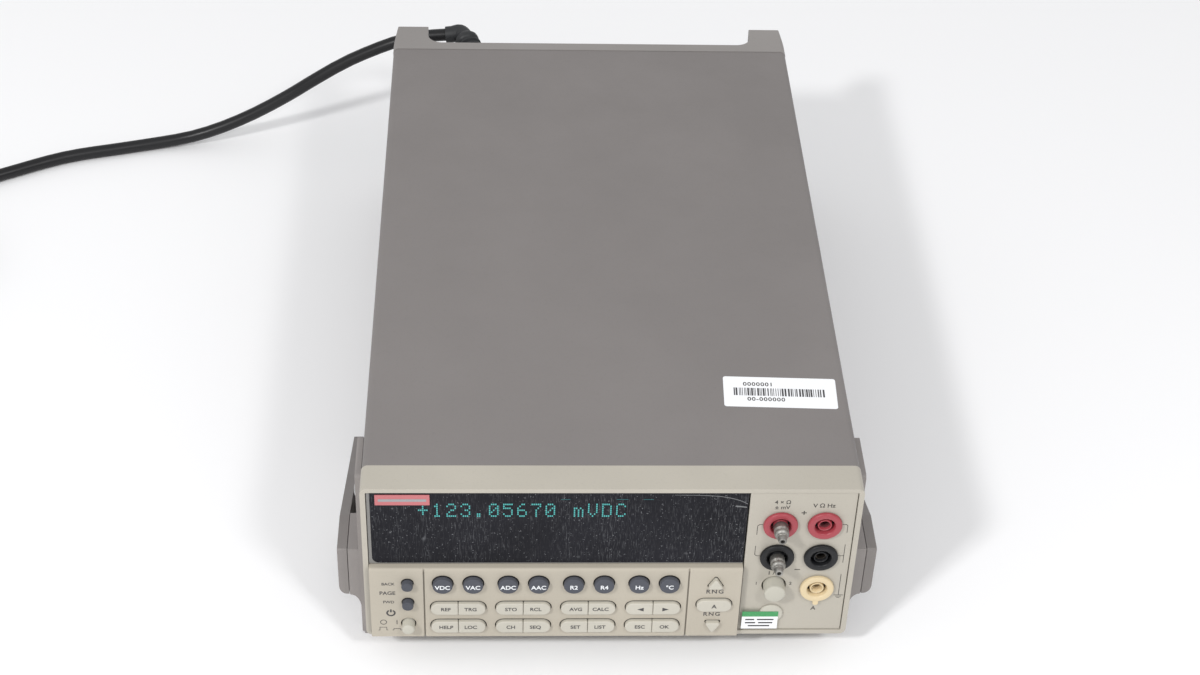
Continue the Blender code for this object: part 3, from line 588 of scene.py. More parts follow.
def cord_path():
    route = smooth_path(CORD_ROUTE, 9.0)
    coil = coil_points()
    lead_in = smooth_path([CORD_ROUTE[-2], CORD_ROUTE[-1], coil[0], coil[3]], 8.0)
    lead_in = [p for p in lead_in if p.y < CORD_ROUTE[-1][1] - 4 and p.x > coil[0].x + 4]
    leave = coil[-1]
    tail = []
    for s in (10, 20, 30, 40, 50, TAIL_LENGTH):
        sag = -0.6 * math.sin(math.pi * s / TAIL_LENGTH)
        tail.append(leave + Vector((0, -s, sag - 0.1 * s / TAIL_LENGTH)))
    return route + lead_in + coil + tail


def make_cord():
    path = cord_path()
    lead = deliver(tube(path, [CORD_RADIUS] * len(path)), "mains_lead", "sheath",
                   nodes=("power_cord", "cord_coil", "cord_tail"), angle=60.0)
    return lead, path


def make_connector():
    """The connector in the inlet, with its ribbed strain relief."""
    x, z = INLET
    parts = []
    for width, height, corner, front, back in (
        (23.2, 15.6, 2.0, 332.5, 350.0),
        (27.2, 19.2, 5.0, 348.6, 372.0),
        (22.0, 17.0, 6.5, 371.0, 377.5),
    ):
        parts.append(plate(rounded_outline(width, height, corner), "Y", front, back, (x, z)))
    mouth = Vector(CORD_ROUTE[0])
    away = (Vector(CORD_ROUTE[1]) - mouth).normalized()
    bend = smooth_path(
        [
            (x, 373.0, z),
            (x - 1.6, 384.0, z + 1.0),
            (x - 4.6, 395.0, z + 3.0),
            mouth - 9.0 * away,
            mouth - 4.0 * away,
            mouth - GAP * away,
        ],
        0.8,
    )
    ribs, ribs_end = 8, 0.62
    radii = []
    for k in range(len(bend)):
        share = k / (len(bend) - 1)
        neck = min(1.0, max(0.0, (share - ribs_end) / 0.06))
        wave = (0.5 + 0.5 * math.cos(2 * math.pi * ribs * share / ribs_end)) ** 2
        radii.append(7.6 - 1.2 * share - 1.8 * neck - 1.9 * wave * (0.03 < share < 0.60))
    nose, *others = parts
    join(nose, *others, tube(bend, radii, 28))
    return deliver(nose, "inlet_plug", "boot", nodes=("cord_connector",),
                   bevel=0.5, segments=2, angle=50.0)


def make_plug(end):
    """Moulded plug: a body with finger grooves, a ribbed relief, two blades and an earth pin."""
    x, z = end.x, end.z - 0.05
    near = end.y - GAP
    relief_length, body_length = 26.0, 34.0
    front = near - relief_length
    far = front - body_length
    body = plate(rounded_outline(25.0, 20.8, 5.0), "Y", far, front, (x, z))
    grooves = []
    for side in (-1, 1):
        for k in range(4):
            at = (x + side * 13.0, front - 8.0 - 4.4 * k)
            grooves.append(plate(ring(1.1, 16), "Z", z - 7.0, z + 7.0, at))
    cut(body, *grooves)
    points = [Vector((x, near - 0.7 * k, z)) for k in range(44)]
    radii = []
    for k in range(44):
        share = k / 43
        rib = (0.5 - 0.5 * math.cos(2 * math.pi * 5 * share)) ** 3
        radii.append(4.9 + 3.0 * share - 0.9 * rib * (share < 0.86))
    join(body, tube(points, radii, 28))
    plug = deliver(body, "plug_body", "black", nodes=("mains_plug",),
                   bevel=0.7, segments=3, angle=50.0)
    parts = []
    for bx in (x - 6.35, x + 6.35):
        parts.append(box((bx - 0.75, far - 17, z + 0.3), (bx + 0.75, far - 0.05, z + 6.6)))
    profile = [(0, 20.0), (1.4, 20.0), (2.4, 18.6), (2.4, 0.05), (0, 0.05)]
    parts.append(turned(profile, (x, far, z - 5.6), steps=32))
    return plug, deliver(merge(*parts), "plug_pins", "brass", bevel=0.25, segments=2)


# ---- front


def make_bezel():
    middle = (0, CASE_HEIGHT / 2)
    frame_ring = plate(rounded_outline(CASE_WIDTH, CASE_HEIGHT, CORNER, 10), "Y", 0, BEZEL_DEPTH, middle)
    outline = rounded_outline(2 * RIM_INSIDE, RIM_HIGH - RIM_LOW, 0.6, 3)
    bay = plate(outline, "Y", -1, LEDGE_Y, (0, (RIM_HIGH + RIM_LOW) / 2))
    opening = box((-102.6, LEDGE_Y - 1, 3.6), (102.6, 9, 84.2))
    back = box((-RIM_INSIDE, LEDGE_BACK, RIM_LOW), (RIM_INSIDE, BEZEL_DEPTH + 1, RIM_HIGH))
    low, high = case_box("key_panel")
    step = box((low.x - GAP, -1, low.z - GAP), (high.x + GAP, LEDGE_Y, RIM_LOW + 1))
    cut(frame_ring, bay, opening, back, step)
    deliver(frame_ring, "front_frame", "bezel", nodes=("front_bezel",), bevel=0.45)


KEY_NAMES = "dc_volts ac_volts dc_current ac_current two_wire four_wire frequency temperature".split()
UPPER_NAMES = "relative trigger store recall filter math cursor_left cursor_right".split()
LOWER_NAMES = "info local channel scan configure menu exit enter".split()
KEY_MARKS = ("VDC", "VAC", "ADC", "AAC", "R2", "R4", "Hz", "°C")
UPPER_MARKS = ("REF", "TRG", "STO", "RCL", "AVG", "CALC", "", "")
LOWER_MARKS = ("HELP", "LOC", "CH", "SEQ", "SET", "LIST", "ESC", "OK")


def centre_of(node):
    low, high = case_box(node)
    return (low + high) / 2, high - low, low.y


def make_key_panel():
    """The raised panel, with a hole for every key."""
    low, high = case_box("key_panel")
    edge = 1.3
    side = [(low.y, low.z), (high.y, low.z), (high.y, high.z)]
    side += arc(low.y + edge, high.z - edge, edge, 90, 180, 6)
    panel = plate(side, "X", low.x, high.x)
    tools = []

    def hole(outline, x, z):
        tools.append(plate(outline, "Y", low.y - 2, high.y + 2, (x, z)))

    def round_hole(node, room):
        middle, size, _ = centre_of(node)
        hole(ring(size.x / 2 + room), middle.x, middle.z)

    for name in KEY_NAMES:
        round_hole(f"{name}_key", 1.4 * GAP)
    for names in (UPPER_NAMES, LOWER_NAMES):
        for left, right in zip(names[::2], names[1::2]):
            first, last = case_box(f"{left}_key")[0], case_box(f"{right}_key")[1]
            outline = stadium(last.x - first.x + 0.9, last.z - first.z + 0.9)
            hole(outline, (first.x + last.x) / 2, (first.z + last.z) / 2 + 0.05)
    for word, up in (("up", 1), ("down", -1)):
        middle, size, _ = centre_of(f"range_{word}_key")
        outline = triangle(ARROW_SIDE + 2 * math.sqrt(3) * GAP, up)
        hole(outline, middle.x, (middle.z - up * size.z / 2) + up * ARROW_BASE)
    middle, size, _ = centre_of("auto_range_key")
    hole(stadium(size.x + 0.9, size.z + 0.9), middle.x, middle.z)
    for node in ("previous_display_key", "next_display_key"):
        round_hole(node, GAP)
    round_hole("power_button", 2 * GAP)
    for x in GROOVES_X:
        tools.append(box((x - 0.35, low.y - 1, low.z - 1), (x + 0.35, low.y + 0.7, high.z + 1)))
    cut(panel, *tools)
    deliver(panel, "button_panel", "panel", nodes=("key_panel",), bevel=0.2)


def mark_on(node, obj, ink="ink"):
    """A printed mark that moves with its key."""
    deliver(obj, f"{node}_mark", ink, node)


def flat_cap(node, outline, at, bevel, angle=35.0):
    """A key cap with a flat face and round edges."""
    low, high = case_box(node)
    cap = plate(outline, "Y", low.y, high.y, at)
    deliver(cap, f"{node}_cap", "key", node, (node,), bevel, 4, angle)


def make_round_key(node, mark):
    """A round cap with a shallow dished face."""
    middle, size, front = centre_of(node)
    radius, depth = size.x / 2, size.y
    profile = [(0, -0.12), (radius * 0.55, -0.07), (radius - 0.75, 0.0), (radius - 0.35, -0.06)]
    profile += [(radius - 0.1, -0.25), (radius, -0.6), (radius, -depth), (0, -depth)]
    cap = turned(profile, (middle.x, front, middle.z), steps=56)
    deliver(cap, f"{node}_cap", "dark_key", node, (node,), angle=50.0)
    if mark:
        letters = lettering(mark, 3.2, middle.x, front + PRINT_LIFT, middle.z - 0.5)
        mark_on(node, letters, "white_ink")


def half_outline(width, height, side):
    x, radius = (width - height) / 2, height / 2
    inner = KEY_SPLIT / 2
    end = arc(x, 0, radius, -90, 90, 16)
    return [(side * px, py) for px, py in [(inner, -radius), *end, (inner, radius)]]


def make_half_key(node, side, mark):
    low, high = case_box(node)
    inner_x, outer_x = (low.x, high.x) if side > 0 else (high.x, low.x)
    middle_x = inner_x - side * GAP / 2
    z = (low.z + high.z) / 2
    flat_cap(node, half_outline(2 * abs(outer_x - middle_x), high.z - low.z, side), (middle_x, z), 0.55)
    x = middle_x + side * 5.4
    if mark:
        mark_on(node, lettering(mark, 2.8, x, low.y - PRINT_LIFT, z + 0.1))
    else:
        outline = [(side * 1.5, 0.0), (-side * 1.3, 1.1), (-side * 1.3, -1.1)]
        mark_on(node, plate(outline, "Y", low.y - 0.06, low.y + PRINT_LIFT, (x, z)))


def make_button(node):
    """A round push button that stands well out of its hole."""
    middle, size, front = centre_of(node)
    radius, depth = size.x / 2, size.y
    profile = [(0, 0.0), (radius - 0.9, -0.02), (radius - 0.35, -0.2), (radius - 0.08, -0.55)]
    profile += [(radius, -1.0), (radius, -depth), (0, -depth)]
    cap = turned(profile, (middle.x, front, middle.z), steps=64)
    deliver(cap, f"{node}_cap", "button", node, (node,), angle=50.0)


def make_keys():
    for k in range(8):
        side = (-1, 1)[k % 2]
        make_round_key(f"{KEY_NAMES[k]}_key", KEY_MARKS[k])
        make_half_key(f"{UPPER_NAMES[k]}_key", side, UPPER_MARKS[k])
        make_half_key(f"{LOWER_NAMES[k]}_key", side, LOWER_MARKS[k])
    for word in ("previous", "next"):
        make_round_key(f"{word}_display_key", "")
    for word, up in (("up", 1), ("down", -1)):
        node = f"range_{word}_key"
        low, high = case_box(node)
        base = low.z if up > 0 else high.z
        at = ((low.x + high.x) / 2, base + up * ARROW_BASE)
        flat_cap(node, triangle(ARROW_SIDE, up), at, 0.7, 50.0)
    node = "auto_range_key"
    middle, size, front = centre_of(node)
    flat_cap(node, stadium(size.x, size.z), (middle.x, middle.z), 0.6)
    mark_on(node, lettering("A", 3.2, middle.x, front - PRINT_LIFT, middle.z))
    for node in ("power_button", "inputs_button"):
        make_button(node)


# ---- window


DOTS = {
    "+": "00000 00100 00100 11111 00100 00100 00000",
    "0": "01110 10001 10011 10101 11001 10001 01110",
    "1": "00100 01100 00100 00100 00100 00100 01110",
    "2": "01110 10001 00001 00110 01000 10000 11111",
    "3": "01110 10001 00001 00110 00001 10001 01110",
    "5": "11111 10000 11110 00001 00001 10001 01110",
    "6": "00110 01000 10000 11110 10001 10001 01110",
    "7": "11111 00001 00010 00100 00100 00100 00100",
    ".": "00000 00000 00000 00000 00000 01100 01100",
    "m": "00000 00000 11010 10101 10101 10101 10101",
    "V": "10001 10001 10001 10001 10001 01010 00100",
    "D": "11110 10001 10001 10001 10001 10001 11110",
    "C": "01110 10001 10000 10000 10000 10001 01110",
    " ": "00000 00000 00000 00000 00000 00000 00000",
}
READING = "+123.05670 mVDC"


def make_readout(front):
    """A dot-matrix reading and a row of faint annunciators."""
    left, top, pitch_x, pitch_z, step = -81.9, 78.9, 0.86, 1.13, 5.98
    wide, tall = 0.28, 0.38
    dots = []
    for place, letter in enumerate(READING):
        for row, bits in enumerate(DOTS[letter].split()):
            for column, bit in enumerate(bits):
                x = left + step * place + pitch_x * column
                z = top - pitch_z * row
                if bit == "1":
                    dots.append((x - wide, x + wide, z - tall, z + tall))
    deliver(raised(dots, front, 0.08), "readout_digits", "teal")
    marks = [(x, x + width, 81.6, 81.9) for x, width in ((-22.0, 4.0), (1.5, 5.0), (13.0, 4.2))]
    deliver(raised(marks, front, 0.06), "readout_annunciators", "faint")


def make_film_edge(front):
    """The lifted edge of the window's film, with a torn corner."""
    bend = ((26, 84.3), (38, 84.1), (46, 83.4), (51, 82.2), (54.6, 80.8), (57.2, 79.2))
    edge = smooth_path([(x, front, z) for x, z in bend], 1.5)
    radii = [0.10 + 0.10 * k / (len(edge) - 1) for k in range(len(edge))]
    corner = [(52.0, 77.6), (57.0, 77.0), (57.0, 77.6), (52.4, 78.3)]
    strip = merge(tube(edge, radii, 8), plate(corner, "Y", front - 0.08, front + PRINT_LIFT))
    deliver(strip, "film_edge", "film_line", angle=60.0)


def make_window():
    """Grey-edged lens with a dark printed area, a badge, the film's edge and the readout."""
    low, high = case_box("display_window")
    lens = box(low, high)
    deliver(lens, "lens_edge", "grey_edge", nodes=("display_window",), bevel=0.3)
    left, right = low.x + 1.5, high.x - 0.1
    bottom, top = low.z + 0.8, high.z - 0.1
    radius, front = 3.2, low.y - 0.12
    outline = arc(left + radius, bottom + radius, radius, 180, 270, 8)
    outline += [(right, bottom), (right, top), (left, top)]
    deliver(plate(outline, "Y", front, low.y + 0.05), "lens_dark_area", "window")
    make_readout(front)
    badge = box((-100.3, front - 0.5, 78.7), (-77.2, front + PRINT_LIFT, 84.5))
    deliver(badge, "plain_badge", "badge", bevel=0.2)
    stripe = box((-98.9, front - 0.56, 80.9), (-78.6, front - 0.49, 82.3))
    deliver(stripe, "badge_stripe", "film")
    make_film_edge(front)


# ---- terminals


JACKS = {
    "sense_high_jack": "red",
    "input_high_jack": "red",
    "sense_low_jack": "black",
    "input_low_jack": "black",
    "amps_jack": "cream",
}


def make_terminal_panel():
    low, high = case_box("terminal_panel")
    panel = box(low, high)
    tools = []
    for node in (*JACKS, "inputs_button", "calibration_cap"):
        middle, size, _ = centre_of(node)
        room = {"inputs_button": size.x / 2 + 0.6, "calibration_cap": 4.6}.get(node, JACK_BODY + GAP)
        z = case_box(node)[1].z - JACK_RADIUS if node == "amps_jack" else middle.z
        tools.append(plate(ring(room), "Y", low.y - 3, high.y + 3, (middle.x, z)))
    cut(panel, *tools)
    deliver(panel, "jack_panel", "bezel", nodes=("terminal_panel",), bevel=0.3)


def make_jack(node, color):
    """Flange and shroud, a separate contact in the sleeve, and a tab on the fused jack."""
    low, high = case_box(node)
    body = "amps_fuse_carrier" if node == "amps_jack" else BODY
    x, z = (low.x + high.x) / 2, high.z - JACK_RADIUS
    centre = (x, low.y + 1.5, z)
    profile = [(0, -12), (2.35, -12), (2.35, 0.1), (2.6, 0.4), (2.9, 0.4), (3.1, 0.15), (3.1, -8)]
    profile += [(4.4, -8), (4.4, 0.9), (4.75, 1.35), (5.1, 1.5), (6.7, 1.5), (7.1, 1.4), (7.38, 1.1)]
    profile += [(JACK_RADIUS, 0.7), (JACK_RADIUS, 0), (JACK_BODY, 0), (JACK_BODY, -24), (0, -24)]
    jack = turned(profile, centre, steps=72)
    if node == "amps_jack":
        outline = [(-1.2, 0.6), (1.2, 0.6), (1.2, -1.4), (0.5, -2.0), (-0.5, -2.0), (-1.2, -1.4)]
        join(jack, plate(outline, "Y", low.y + 0.2, low.y + 1.4, (x, z - JACK_RADIUS)))
    deliver(jack, f"{node}_body", color, body, (node,), angle=40.0)
    # A black ring deep in the well: partly the jack's dark insulator, partly painted shade that darkens the
    # well.
    dark_well_ring = [(3.15, -2.4), (4.35, -2.4), (4.35, -7.9), (3.15, -7.9)]
    well = turned(dark_well_ring, centre, closed=True)
    deliver(well, f"{node}_liner", "black", body, angle=40.0)
    contact = [(0, -9), (1.85, -9), (1.85, -0.9), (2.3, -0.9), (2.3, -11.5), (0, -11.5)]
    sleeve = turned(contact, centre, steps=40)
    deliver(sleeve, f"{node}_contact", f"{color}_inside", body, angle=40.0)


def make_pin(node):
    """Turned adapter with a hole in its tip, a taper, a shoulder and fine rings."""
    middle, _, front = centre_of(node)
    profile = [(0, -4.0), (0.95, -4.0), (0.95, -0.1), (1.1, 0.0), (1.6, 0.0), (1.75, -0.2), (2.1, -2.5)]
    profile += [(2.3, -2.7), (2.3, -3.2), (2.75, -3.5), (3.1, -4.1), (3.2, -4.5)]
    for k in range(3):
        start = -5.2 - 0.5 * k
        profile += [(3.2, start), (3.08, start - 0.12), (3.2, start - 0.25)]
    profile += [(3.2, -9.2), (3.0, -9.4), (1.7, -9.4), (1.7, -19.0), (1.1, -20.0), (0, -20.0)]
    pin = turned(profile, (middle.x, front, middle.z))
    deliver(pin, f"{node}_body", "pin", nodes=(node,), angle=30.0)


def line(bm, points, y, width):
    """Adds a thin printed line through points (x, z) on a face that looks forward."""
    for (xa, za), (xb, zb) in zip(points, points[1:]):
        across = Vector((za - zb, xb - xa)).normalized() * width / 2
        outline = [(xa + across.x, za + across.y), (xa - across.x, za - across.y)]
        outline += [(xb - across.x, zb - across.y), (xb + across.x, zb + across.y)]
        prism(bm, outline, "Y", y - 0.05, y + PRINT_LIFT)


def make_print(name, ink, face, lines, words):
    """One printed piece from lines of width and points, and words of text, size, x, z and spread."""
    bm = bmesh.new()
    for width, *points in lines:
        line(bm, points, face, width)
    letters = [lettering(text, size, x, face, z, "Y", *spread) for text, size, x, z, *spread in words]
    deliver(merge(rough_object(bm), *letters), name, ink)


def make_seal_cap():
    middle, size, front = centre_of("calibration_cap")
    radius = size.x / 2
    profile = [(0, 0), (radius - 0.9, 0), (radius - 0.3, -0.15), (radius, -0.5), (radius, -0.9)]
    profile += [(radius - 1.0, -0.9), (radius - 1.0, -4.9), (0, -4.9)]
    cap = turned(profile, (middle.x, front, middle.z), steps=56)
    deliver(cap, "seal_cap", "button", nodes=("calibration_cap",), angle=50.0)


def make_terminals():
    make_terminal_panel()
    for node, color in JACKS.items():
        make_jack(node, color)
    for node in ("sense_high_pin", "sense_low_pin"):
        make_pin(node)
    make_seal_cap()
    make_terminal_print()
    make_sticker()


def make_terminal_print():
    """Unit marks, thin bracket lines and the earth symbol on the jack panel."""
    thin, rail, foot = 0.28, 101.2, 24.0
    lines = [
        (thin, (64.6, 48.2), (63.2, 48.2), (62.4, 49.0), (62.4, 54.2)),
        (thin, (62.4, 60.9), (62.4, 66.1), (63.2, 66.9), (64.6, 66.9)),
        (thin, (98.8, 66.9), (100.6, 66.9), (rail, 66.3), (rail, 62.0)),
        (thin, (rail, 55.0), (rail, 44.0)),
        (thin, (98.9, 48.2), (rail, 48.2)),
        (thin, (rail, 37.0), (rail, foot)),
    ]
    for k in range(3):
        half, z = 2.0 - 0.65 * k, foot - 0.8 * k
        lines.append((thin, (rail - half, z), (rail + half, z)))
    words = (
        ("4 × Ω", 2.9, 72.2, 79.9),
        ("± mV", 2.9, 72.2, 76.9),
        ("V Ω Hz", 3.1, 90.0, 77.9),
        ("+", 4.4, 81.7, 73.6),
        ("–", 4.4, 81.7, 40.0),
        ("1 / 2", 3.0, 71.6, 37.6),
        ("A", 3.2, 90.8, 15.7),
        ("1", 2.4, 64.4, 31.2),
        ("2", 2.4, 79.4, 31.2),
    )
    face = case_box("terminal_panel")[0].y
    make_print("jack_panel_print", "pale_ink", face, lines, words)


def make_sticker():
    """Blank seal sticker over half the cap: a green band over white, with short dashes."""
    left, right, low, high = 59.4, 75.4, 4.1, 14.9
    back = case_box("calibration_cap")[0].y - 0.05
    face = back - 0.12
    for name, bottom, top, color in (
        ("seal_sticker", low, high - 3.2, "paper"),
        ("seal_sticker_band", high - 3.18, high, "green"),
    ):
        strip = box((left, face, bottom), (right, back, top))
        deliver(strip, name, color, bevel=0.05, segments=1)
    rows = ((61.0, 4.0, 9.9), (66.2, 7.4, 9.9), (61.0, 4.6, 7.9), (66.8, 6.4, 7.9), (62.4, 9.6, 6.0))
    dashes = raised([(x, x + width, z - 0.42, z + 0.42) for x, width, z in rows], face, 0.04)
    deliver(dashes, "seal_sticker_dashes", "ink")


def make_panel_print():
    """Marks on the key panel: range, display and power symbols."""
    x, z, base = -98.6, 10.6, 5.6
    lines = [(0.3, *arc(x, z, 1.35, 0, 360, 20)), (0.35, (x + 5.9, z + 1.3), (x + 5.9, z - 1.3))]
    for left, top in ((x - 1.7, base + 1.8), (x + 4.4, base + 0.9)):
        right = left + 3.0
        rise = ((left - 0.6, base), (left, base), (left, top))
        lines.append((0.25, *rise, (right, top), (right, base), (right + 0.6, base)))
    x, z = -95.2, 16.4
    lines += [(0.75, *arc(x, z, 1.7, 120, 420, 18)), (0.75, (x, z + 0.4), (x, z + 2.2))]
    words = (
        ("BACK", 2.2, -96.0, 34.2),
        ("PAGE", 2.9, -96.4, 28.6),
        ("FWD", 2.2, -96.0, 23.1),
        ("RNG", 3.3, 46.2, 29.2, 1.25),
        ("RNG", 3.2, 45.6, 15.2, 1.25),
    )
    make_print("panel_print", "ink", case_box("key_panel")[0].y, lines, words)


# ---- case


def make_cover():
    low, high = case_box("case_cover")
    size, middle = high - low, (low + high) / 2
    wall, at = 1.4, (middle.x, middle.z)
    shell = plate(rounded_outline(size.x, size.z, CORNER, 10), "Y", low.y, high.y, at)
    inner = rounded_outline(size.x - 2 * wall, size.z - 2 * wall, CORNER - wall, 4)
    cut(shell, plate(inner, "Y", low.y - 5, high.y + 5, at))
    deliver(shell, "case_sleeve", "cover", nodes=("case_cover",), bevel=0.3)


def make_label():
    """Inventory label on the top: pale paper, plain bars and made-up numbers, a little crooked."""
    top = case_box("case_cover")[1].z
    turn = Matrix.Translation((76.2, 62.8, 0)) @ Matrix.Rotation(math.radians(-2.1), 4, "Z")

    def lay(obj, name, ink, bevel=0.0):
        obj.data.transform(turn)
        deliver(obj, name, ink, bevel=bevel, segments=2)

    paper = plate(rounded_outline(50.2, 20.3, 1.2), "Z", top + 0.02, top + 0.14)
    lay(paper, "blank_label", "paper", 0.04)
    bm = bmesh.new()
    rng = random.Random(7)
    x = -20.6
    while x < 20.4:
        width = rng.choice((0.3, 0.3, 0.55, 0.8))
        block(bm, (x, -2.6, top + 0.12), (x + width, 2.6, top + 0.17))
        x += width + rng.choice((0.3, 0.45, 0.7))
    lay(rough_object(bm), "label_bars", "ink")
    upper = lettering("0000001", 3.4, -9.6, 5.1, top + 0.15, "Z", 1.15)
    lower = lettering("00-000000", 3.4, -6.4, -5.0, top + 0.15, "Z", 1.15)
    lay(merge(upper, lower), "label_numbers", "pale_ink")


def rear_gap(reach):
    """Outline of the gap between two rear corners, open to the back."""
    fillet, past = 8.0, CASE_LENGTH + 5
    return [
        (-reach, past),
        *arc(-reach + fillet, REAR_RING_END + fillet, fillet, 180, 270, 12),
        *arc(reach - fillet, REAR_RING_END + fillet, fillet, 270, 360, 12),
        (reach, past),
    ]


def make_rear_bezel():
    low, high = case_box("rear_bezel")
    outline = rounded_outline(CASE_WIDTH, CASE_HEIGHT, CORNER, 10)
    frame_ring = plate(outline, "Y", low.y, high.y, (0, CASE_HEIGHT / 2))
    ends = [(y, z + CASE_HEIGHT / 2) for z, y in rear_gap(CASE_HEIGHT / 2 - 17.0)]
    wall = 9.5
    tools = [
        plate(rear_gap(HALF - 18.4), "Z", -5, CASE_HEIGHT + 5),
        plate(ends, "X", -HALF - 5, HALF + 5),
        box((wall - HALF, low.y - 5, wall - 2), (HALF - wall, high.y + 5, CASE_HEIGHT - wall + 2)),
    ]
    for sign in (-1, 1):
        tapered, outside, past = sign * (HALF - 1.9), sign * (HALF + 8), CASE_LENGTH + 10
        outline = [(sign * HALF, REAR_RING_END), (tapered, CASE_LENGTH), (tapered, past)]
        outline += [(outside, past), (outside, REAR_RING_END)]
        tools.append(plate(outline, "Z", -10, CASE_HEIGHT + 10))
    cut(frame_ring, *tools)
    deliver(frame_ring, "rear_frame", "rear", nodes=("rear_bezel",), bevel=0.7)


def make_ears():
    """Side plates, each with a hub for the handle, a front foot and a screw."""
    wide, tall = 4.4, 8.5
    flare = arc(0, 0, 1, 90, 180, 12)
    hub = [(EAR_OUTSIDE - 1, HUB_Z[1]), (BOSS_OUTSIDE, HUB_Z[1]), (BOSS_OUTSIDE, HUB_Z[0] + 0.4)]
    hub += [(EAR_OUTSIDE + wide * (1 + x), HUB_Z[0] + tall * (z - 1)) for x, z in flare]
    hub.append((EAR_OUTSIDE - 1, HUB_Z[0] - tall))
    bore = [(0, 10), (BORE_RADIUS, 10), (BORE_RADIUS, -4.6), (0, -4.6)]
    for word, sign in (("left", -1), ("right", 1)):
        node, outward = f"mounting_ear_{word}", (sign, 0, 0)
        low, high = case_box(node)
        outline = rounded_outline(high.y - low.y, high.z - low.z, 2.5)
        at = ((low.y + high.y) / 2, (low.z + high.z) / 2)
        ear = plate(outline, "X", *sorted((sign * EAR_INSIDE, sign * EAR_OUTSIDE)), at)
        boss = plate([(sign * x, z) for x, z in hub], "Y", *HUB_Y)
        inner, outer = sorted((sign * 88.0, sign * (EAR_OUTSIDE - 1)))
        join(ear, boss, box((inner, low.y, low.z), (outer, high.y, -GAP)))
        cut(ear, turned(bore, (sign * BOSS_OUTSIDE, *PIVOT), outward))
        deliver(ear, f"ear_{word}", "ear", nodes=(node,), bevel=0.5)
        make_screw(f"ear_screw_{word}", (sign * (EAR_OUTSIDE + 0.05), 28.0, 62.0), outward)


def make_screw(name, centre, direction):
    """Pan-head screw with a cross recess."""
    radius = 3.6
    profile = [(0, 1.5), (radius * 0.5, 1.42), (radius * 0.85, 1.0), (radius, 0.4), (radius, 0.0), (0, 0.0)]
    head = turned(profile, centre, direction, 40)
    turn = Vector(direction).to_track_quat("Z", "Y").to_matrix().to_4x4()
    turn.translation = Vector(centre)
    for angle in (25, 115):
        tool = box((-radius * 0.55, -0.4, 0.8), (radius * 0.55, 0.4, 3.0))
        tool.data.transform(turn @ Matrix.Rotation(math.radians(angle), 4, "Z"))
        cut(head, tool)
    deliver(head, name, "steel", angle=40.0)


def round_lower_edge(obj, outer_x):
    """A large round along an arm's outer lower edge."""
    bm = bmesh.new()
    bm.from_mesh(obj.data)
    chosen = []
    for edge in bm.edges:
        outside = all(abs(v.co.x - outer_x) < 0.1 for v in edge.verts)
        if outside and any(face.normal.z < -0.3 for face in edge.link_faces):
            chosen.append(edge)
    bmesh.ops.bevel(bm, geom=chosen, offset=3.4, segments=8, profile=0.5, affect="EDGES")
    bm.to_mesh(obj.data)
    bm.free()


def make_handle():
    """Two arms, a crossbar and the pivot pins, as one moulding."""
    deep = 13.0
    bar = rounded_outline(deep, BAR_HIGH - HANDLE_LOW, 3.0)
    at = (HANDLE_END - deep / 2, (BAR_HIGH + HANDLE_LOW) / 2)
    grip = plate(bar, "X", 1.5 - HANDLE_OUTSIDE, HANDLE_OUTSIDE - 1.5, at)
    slope = math.tan(math.radians(21.0))
    top_y, top_z = HUB_Y[1], HUB_Z[1] - 0.7
    end_z = top_z - slope * (HANDLE_END - 4.6 - top_y)
    low_y = PIVOT[0] + (HUB_Z[0] - HANDLE_LOW) / slope
    outline = [
        (HUB_Y[0], HUB_Z[1] - 0.6),
        (HUB_Y[0] + 0.6, HUB_Z[1]),
        (top_y - 1.8, HUB_Z[1]),
        (top_y, top_z),
        *arc(HANDLE_END - 6.0, end_z - 6.0, 6.0, 69, 0, 10),
        *arc(HANDLE_END - 4.0, HANDLE_LOW + 4.0, 4.0, 0, -90, 10),
        (low_y, HANDLE_LOW),
        (PIVOT[0], HUB_Z[0]),
        (HUB_Y[0] + 0.6, HUB_Z[0]),
        (HUB_Y[0], HUB_Z[0] + 0.6),
    ]
    pin = [(0, 1.0), (PIN_RADIUS, 1.0), (PIN_RADIUS, -4.2), (0, -4.2)]
    for sign in (-1, 1):
        arm = plate(outline, "X", *sorted((sign * HANDLE_INSIDE, sign * HANDLE_OUTSIDE)))
        round_lower_edge(arm, sign * HANDLE_OUTSIDE)
        join(grip, arm, turned(pin, (sign * HANDLE_INSIDE, *PIVOT), (sign, 0, 0)))
    deliver(grip, "carry_handle", "handle", "handle", ("handle",), bevel=0.6)


def make_feet():
    profile = [(0, -0.3), (8.2, -0.3), (8.5, -0.7), (9.9, -13.4), (9.8, -14.2), (9.2, -14.8)]
    profile += [(8.2, -FOOT_HEIGHT), (0, -FOOT_HEIGHT)]
    for word in ("left", "right"):
        node = f"rear_foot_{word}"
        middle = centre_of(node)[0]
        foot = turned(profile, (middle.x, middle.y, 0), UPRIGHT, 64)
        deliver(foot, f"back_foot_{word}", "rubber", nodes=(node,), angle=50.0)


def dress_cad_nodes():
    """Materials for the CAD nodes that stay, most of them seen through openings."""
    stay = {
        "chassis": "steel",
        "display_board": "board",
        "main_board": "board",
        "power_transformer": "iron",
        "power_inlet": "black",
    }
    for node, key in stay.items():
        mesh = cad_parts[node].data
        mesh.materials.clear()
        mesh.materials.append(LOOK[key])


# ---- stage


SKY_STRENGTH, LAMP_DISTANCE = 0.69, 2.2


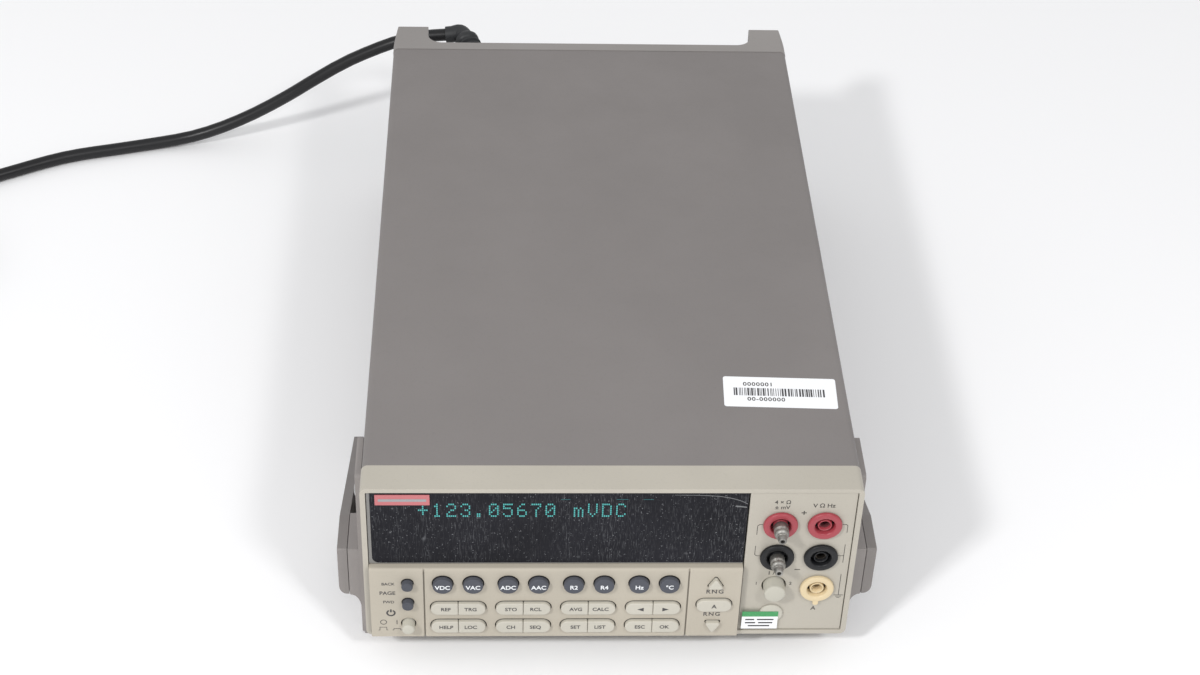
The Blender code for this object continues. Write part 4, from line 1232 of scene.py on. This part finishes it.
def make_floor():
    mesh = bpy.data.meshes.new("floor")
    bm = bmesh.new()
    bmesh.ops.create_grid(bm, x_segments=1, y_segments=1, size=6.0)
    bm.to_mesh(mesh)
    bm.free()
    n = Nodes("floor_white")
    tone = n.ramp(n.noise(0.9, 2.0), 0.3, 0.7)
    n.set("Base Color", n.mix(tone, (0.93, 0.928, 0.935), (0.955, 0.955, 0.96)))
    n.set("Roughness", 0.6)
    mesh.materials.append(n.material)
    floor = new_object("floor", mesh)


def make_light(name, way, size, power):
    """A square lamp that shines at the row's origin from the way given."""
    light = bpy.data.lights.new(name, "AREA")
    light.size = size
    light.energy = power
    lamp = new_object(name, light)
    lamp.location = LAMP_DISTANCE * Vector(way)
    lamp.rotation_euler = Vector(way).to_track_quat("Z", "Y").to_euler()


def make_stage():
    """Plain pale floor, an even sky and two soft lamps."""
    make_floor()
    world = bpy.data.worlds.new("studio")
    world.use_nodes = True
    sky = world.node_tree.nodes["Background"]
    sky.inputs["Color"].default_value = (0.985, 0.99, 1.0, 1.0)
    sky.inputs["Strength"].default_value = SKY_STRENGTH
    bpy.context.scene.world = world
    make_light("left_light", (-0.46, -0.594, 0.661), 0.20, 19.5)
    make_light("right_light", (0.35, -0.61, 0.705), 0.26, 10.5)


CAMERA_PLACE = (-46.3, -673.1, 718.9)
CAMERA_YAW, CAMERA_PITCH, CAMERA_ROLL = -3.237, 39.141, 2.239
CAMERA_LENS = 65.87


def make_camera():
    yaw, pitch, roll = (math.radians(angle) for angle in (CAMERA_YAW, CAMERA_PITCH, CAMERA_ROLL))
    data = bpy.data.cameras.new("camera")
    data.lens = CAMERA_LENS
    data.sensor_width = 36.0
    data.clip_start = 0.01
    camera = new_object("camera", data)
    place = Matrix.Translation(TO_ROW @ Vector(CAMERA_PLACE))
    turn = Matrix.Rotation(yaw, 4, "Z") @ Matrix.Rotation(math.pi / 2 - pitch, 4, "X")
    camera.matrix_world = place @ turn @ Matrix.Rotation(roll, 4, "Z")
    bpy.context.scene.camera = camera
    bpy.context.scene.view_settings.view_transform = "Standard"


def main():
    make_stage()
    make_camera()
    lead, path = make_cord()
    connector = make_connector()
    plug, pins = make_plug(path[-1])
    make_bezel()
    make_key_panel()
    make_keys()
    make_window()
    make_terminals()
    make_panel_print()
    make_cover()
    make_label()
    make_rear_bezel()
    make_ears()
    make_handle()
    make_feet()
    dress_cad_nodes()


main()
